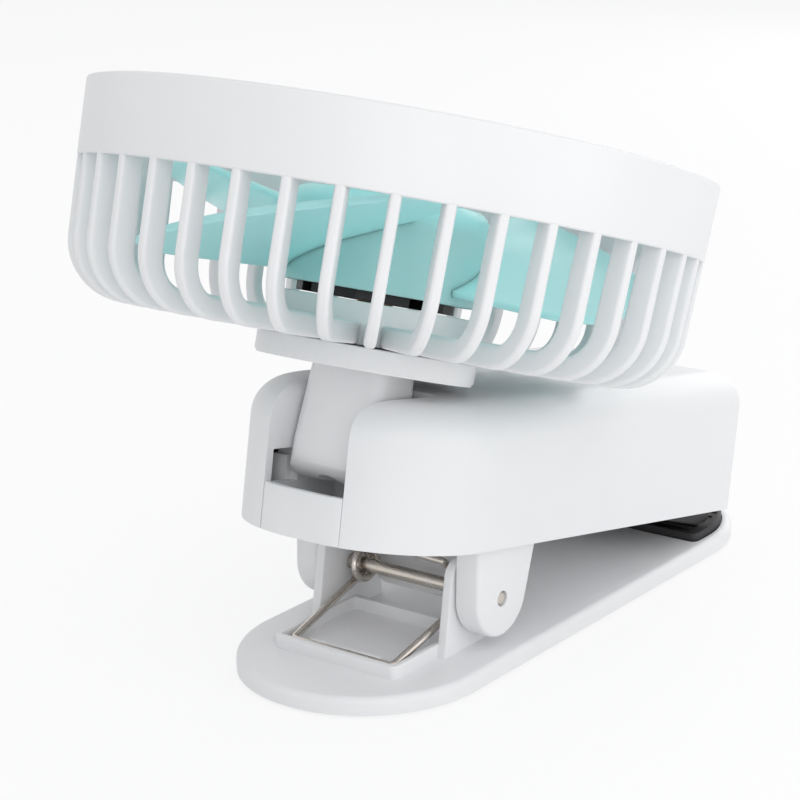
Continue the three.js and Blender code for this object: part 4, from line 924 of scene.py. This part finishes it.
def boss():
    """Tube in the drum that takes a screw of the disc."""
    return spun([(SCREW_SHANK, BOSS_BOTTOM), (BOSS_RADIUS, BOSS_BOTTOM),
                 (BOSS_RADIUS, DRUM_TOP - 1), (SCREW_SHANK, DRUM_TOP - 1)], 32)


def make_cage():
    cage = gathered(band(), repeated(rib(), RIBS), drum(), *at_screws(boss))
    finished(cage, "cage_whole", IN_HEAD, "head", "white_plastic", "rear_cage", "cage_band",
             sharp=40)


# ---------------------------------------------------------------- front grille
GRILLE_RADIUS, GRILLE_RING, GRILLE_DEPTH, PROUD = 61.0, 2.2, 4.4, 0.4
SPOKE_WIDTH, SPOKE_DEPTH = 1.5, 2.6
MIDDLE_RING, MIDDLE_HALF, CENTRE_RADIUS, CAP_RADIUS, CAP_SEAT = 37.5, 0.8, 15.5, 12.6, 1.1


def spokes(start, count, phase):
    """Even spokes out to the rim, on the pitch of the cage's ribs."""
    half = SPOKE_WIDTH / 2
    spoke = block(start, GRILLE_RADIUS - 1, -half, half, PROUD - SPOKE_DEPTH + 0.1, PROUD - 0.1)
    return repeated(turned(softened(spoke, 0.35, 3), RIB_PHASE + phase), count)


def make_grille():
    r, inner, back = GRILLE_RADIUS, GRILLE_RADIUS - GRILLE_RING, PROUD - GRILLE_DEPTH
    rim = spun([(inner, back), (r, back), (r, PROUD - 0.3), (r - 0.1, PROUD - 0.08),
                (r - 0.35, PROUD), (inner + 0.3, PROUD), (inner, PROUD - 0.3)], 200)
    r0, r1, low = MIDDLE_RING - MIDDLE_HALF, MIDDLE_RING + MIDDLE_HALF, PROUD - SPOKE_DEPTH
    middle = spun([(r0, low), (r1, low), (r1, PROUD - 0.2), (r1 - 0.2, PROUD), (r0 + 0.2, PROUD),
                   (r0, PROUD - 0.2)], 128)
    seat, seat_floor = CAP_RADIUS + GAP, PROUD - CAP_SEAT
    centre = spun([(0, low), (CENTRE_RADIUS, low), (CENTRE_RADIUS, PROUD - 0.25),
                   (CENTRE_RADIUS - 0.25, PROUD), (seat, PROUD), (seat, seat_floor),
                   (0, seat_floor)], 96)
    long_ones = spokes(CENTRE_RADIUS - 1, RIBS // 2, 0)
    short_ones = spokes(MIDDLE_RING, RIBS // 2, 360 / RIBS)
    finished(gathered(rim, middle, centre, long_ones, short_ones), "grille_front", IN_HEAD, "head",
             "white_plastic", "front_grille")


def make_grille_cap():
    r, low = CAP_RADIUS, PROUD - CAP_SEAT + GAP
    cap = spun([(0, low), (r, low), (r, PROUD - 0.15), (r - 0.15, PROUD + 0.1),
                (r - 0.6, PROUD + 0.25), (0, PROUD + 0.25)], 96)
    finished(cap, "grille_cap_round", IN_HEAD, "head", "white_plastic", "grille_cap")


# ---------------------------------------------------------------- rotor
HUB_RADIUS, HUB_BOTTOM, HUB_TOP, HUB_WALL, HUB_NOSE, HUB_UNDER = 19.6, -31.5, -12.6, 1.3, 3, -16.9
BLADES, BLADE_PHASE, BLADE_TIP, BLADE_SWEEP, BLADE_THICKNESS = 3, 148.0, 51.5, 97.0, 1.5
ROOT_BOTTOM, TIP_BOTTOM, ROOT_LEAD, TIP_LEAD = -29.4, -31.6, 8.4, 13.2
ROOT_START, ROOT_END = 4, 14  # degrees that the root falls short of the tip
TRIM_FROM, TRIM = 0.7, 11  # share of the reach where the tip's corners start, and their degrees


def blade():
    """Wide twisted blade: a grid laid on a helix, its tip corners rounded, then thickened."""
    bm = bmesh.new()
    bmesh.ops.create_grid(bm, x_segments=48, y_segments=30, size=0.5)
    root = HUB_RADIUS - HUB_WALL / 2
    for vert in bm.verts:
        along, out = vert.co.x + 0.5, vert.co.y + 0.5
        trim = TRIM * max(0.0, (out - TRIM_FROM) / (1 - TRIM_FROM)) ** 2
        start = BLADE_PHASE - ROOT_START * (1 - out) + trim * 0.5
        end = BLADE_PHASE + BLADE_SWEEP - ROOT_END * (1 - out) - trim
        degrees = start + (end - start) * along
        angle = math.radians(degrees)
        radius = root + (BLADE_TIP - root) * out
        bottom = ROOT_BOTTOM + (TIP_BOTTOM - ROOT_BOTTOM) * out
        lead = ROOT_LEAD + (TIP_LEAD - ROOT_LEAD) * out
        vert.co = (radius * math.cos(angle), radius * math.sin(angle),
                   bottom + lead * math.radians(degrees - BLADE_PHASE))
    bmesh.ops.recalc_face_normals(bm, faces=bm.faces)
    bmesh.ops.solidify(bm, geom=bm.faces[:], thickness=-BLADE_THICKNESS)
    bmesh.ops.recalc_face_normals(bm, faces=bm.faces)
    return softened(bm, 0.45, 3, 60)


def make_fan():
    blades = repeated(blade(), BLADES)
    r, inner, n = HUB_RADIUS, HUB_RADIUS - HUB_WALL, HUB_NOSE
    quarter = [math.radians(a) for a in range(0, 91, 10)]
    nose = [(r - n + n * math.cos(a), HUB_TOP - n + n * math.sin(a)) for a in quarter]
    hub = spun([(0, HUB_UNDER), (inner, HUB_UNDER), (inner, HUB_BOTTOM), (r - 0.2, HUB_BOTTOM),
                (r, HUB_BOTTOM + 0.2), *nose, (0, HUB_TOP)], 128)
    finished(gathered(hub, blades), "fan", IN_HEAD, "rotor", "teal_plastic", "fan_blades")


# ---------------------------------------------------------------- studio
PURE_WHITE = (1, 1, 1, 1)
SKY, SKY_LEVEL = (0.975, 0.985, 1.0, 1), 0.64
TABLE, TABLE_SHADE, TABLE_REACH = (0.93, 0.93, 0.93, 1), (0.95, 0.95, 0.95, 1), 3.0
FLOOR_WHITE = 0.80  # share of plain white in the table where the camera sees it
LAMPS = {  # place, target, size, power, in metres and watts
    "overhead": ((-0.10, -0.15, 0.85), (0, 0, 0.04), (0.9, 0.9), 1.7),
    "front": ((-0.62, -0.60, 0.45), (0, 0, 0.06), (0.6, 0.6), 1.6),
    "right_front": ((0.15, -0.85, 0.30), (0.02, 0, 0.06), (0.6, 0.6), 1.25),
    "right_back": ((0.85, 0.05, 0.27), (0.03, 0, 0.06), (0.6, 0.4), 1.2),
}


def area_light(name, place, target, size, power):
    data = bpy.data.lights.new(name, "AREA")
    data.shape = "RECTANGLE"
    data.size, data.size_y = size
    data.energy = power
    light = bpy.data.objects.new(name, data)
    light.location = place
    light.rotation_mode = "QUATERNION"
    light.rotation_quaternion = (Vector(target) - Vector(place)).to_track_quat("-Z", "Y")
    bpy.context.scene.collection.objects.link(light)


def white_where_seen(tree, lit, white, share=1.0):
    """A share of white to the camera, to gloss and through clear things; lit for the rest."""
    path = tree.node_tree.nodes.new("ShaderNodeLightPath")
    camera, gloss, clear = (Wire(tree, path.outputs[name])
                            for name in ("Is Camera Ray", "Is Glossy Ray", "Is Transmission Ray"))
    seen = camera + gloss + clear
    seen = seen.math("MINIMUM", seen, 1.0) * share
    return tree.node("ShaderNodeMixShader", None, {0: seen, 1: lit, 2: white})


def make_sky():
    world = bpy.data.worlds.new("studio")
    world.use_nodes = True
    bpy.context.scene.world = world
    sky = Tree(world.node_tree)
    soft = sky.node("ShaderNodeBackground", None, {"Color": SKY, "Strength": SKY_LEVEL})
    white = sky.node("ShaderNodeBackground", None, {"Color": PURE_WHITE, "Strength": 1.0})
    sky.show(white_where_seen(sky, soft, white), "ShaderNodeOutputWorld")


def make_table():
    table = bmesh.new()
    bmesh.ops.create_grid(table, x_segments=2, y_segments=2, size=TABLE_REACH)
    mesh = bpy.data.meshes.new("table")
    table.to_mesh(mesh)
    table.free()
    finish = Finish("table_top")
    speck = finish.noise(40.0, 2.0, 0.5)
    lit = finish.node("ShaderNodeBsdfPrincipled", None, {
        "Base Color": finish.blend(speck, TABLE, TABLE_SHADE), "Roughness": 0.6})
    plain = finish.node("ShaderNodeEmission", None, {"Color": PURE_WHITE, "Strength": 1.0})
    finish.show(white_where_seen(finish, lit, plain, FLOOR_WHITE))
    mesh.materials.append(finish.material)
    floor = bpy.data.objects.new("table", mesh)
    bpy.context.scene.collection.objects.link(floor)


place_camera()
finish_cad_nodes()
make_sky()
make_table()
for lamp, settings in LAMPS.items():
    area_light(lamp, *settings)
make_lower_jaw()
make_base_mat()
make_lower_pad()
make_hinge_pin()
make_clamp_spring()
make_housing()
make_cover()
make_upper_pad()
make_button()
make_neck()
make_disc()
make_cage()
make_grille()
make_grille_cap()
make_fan()
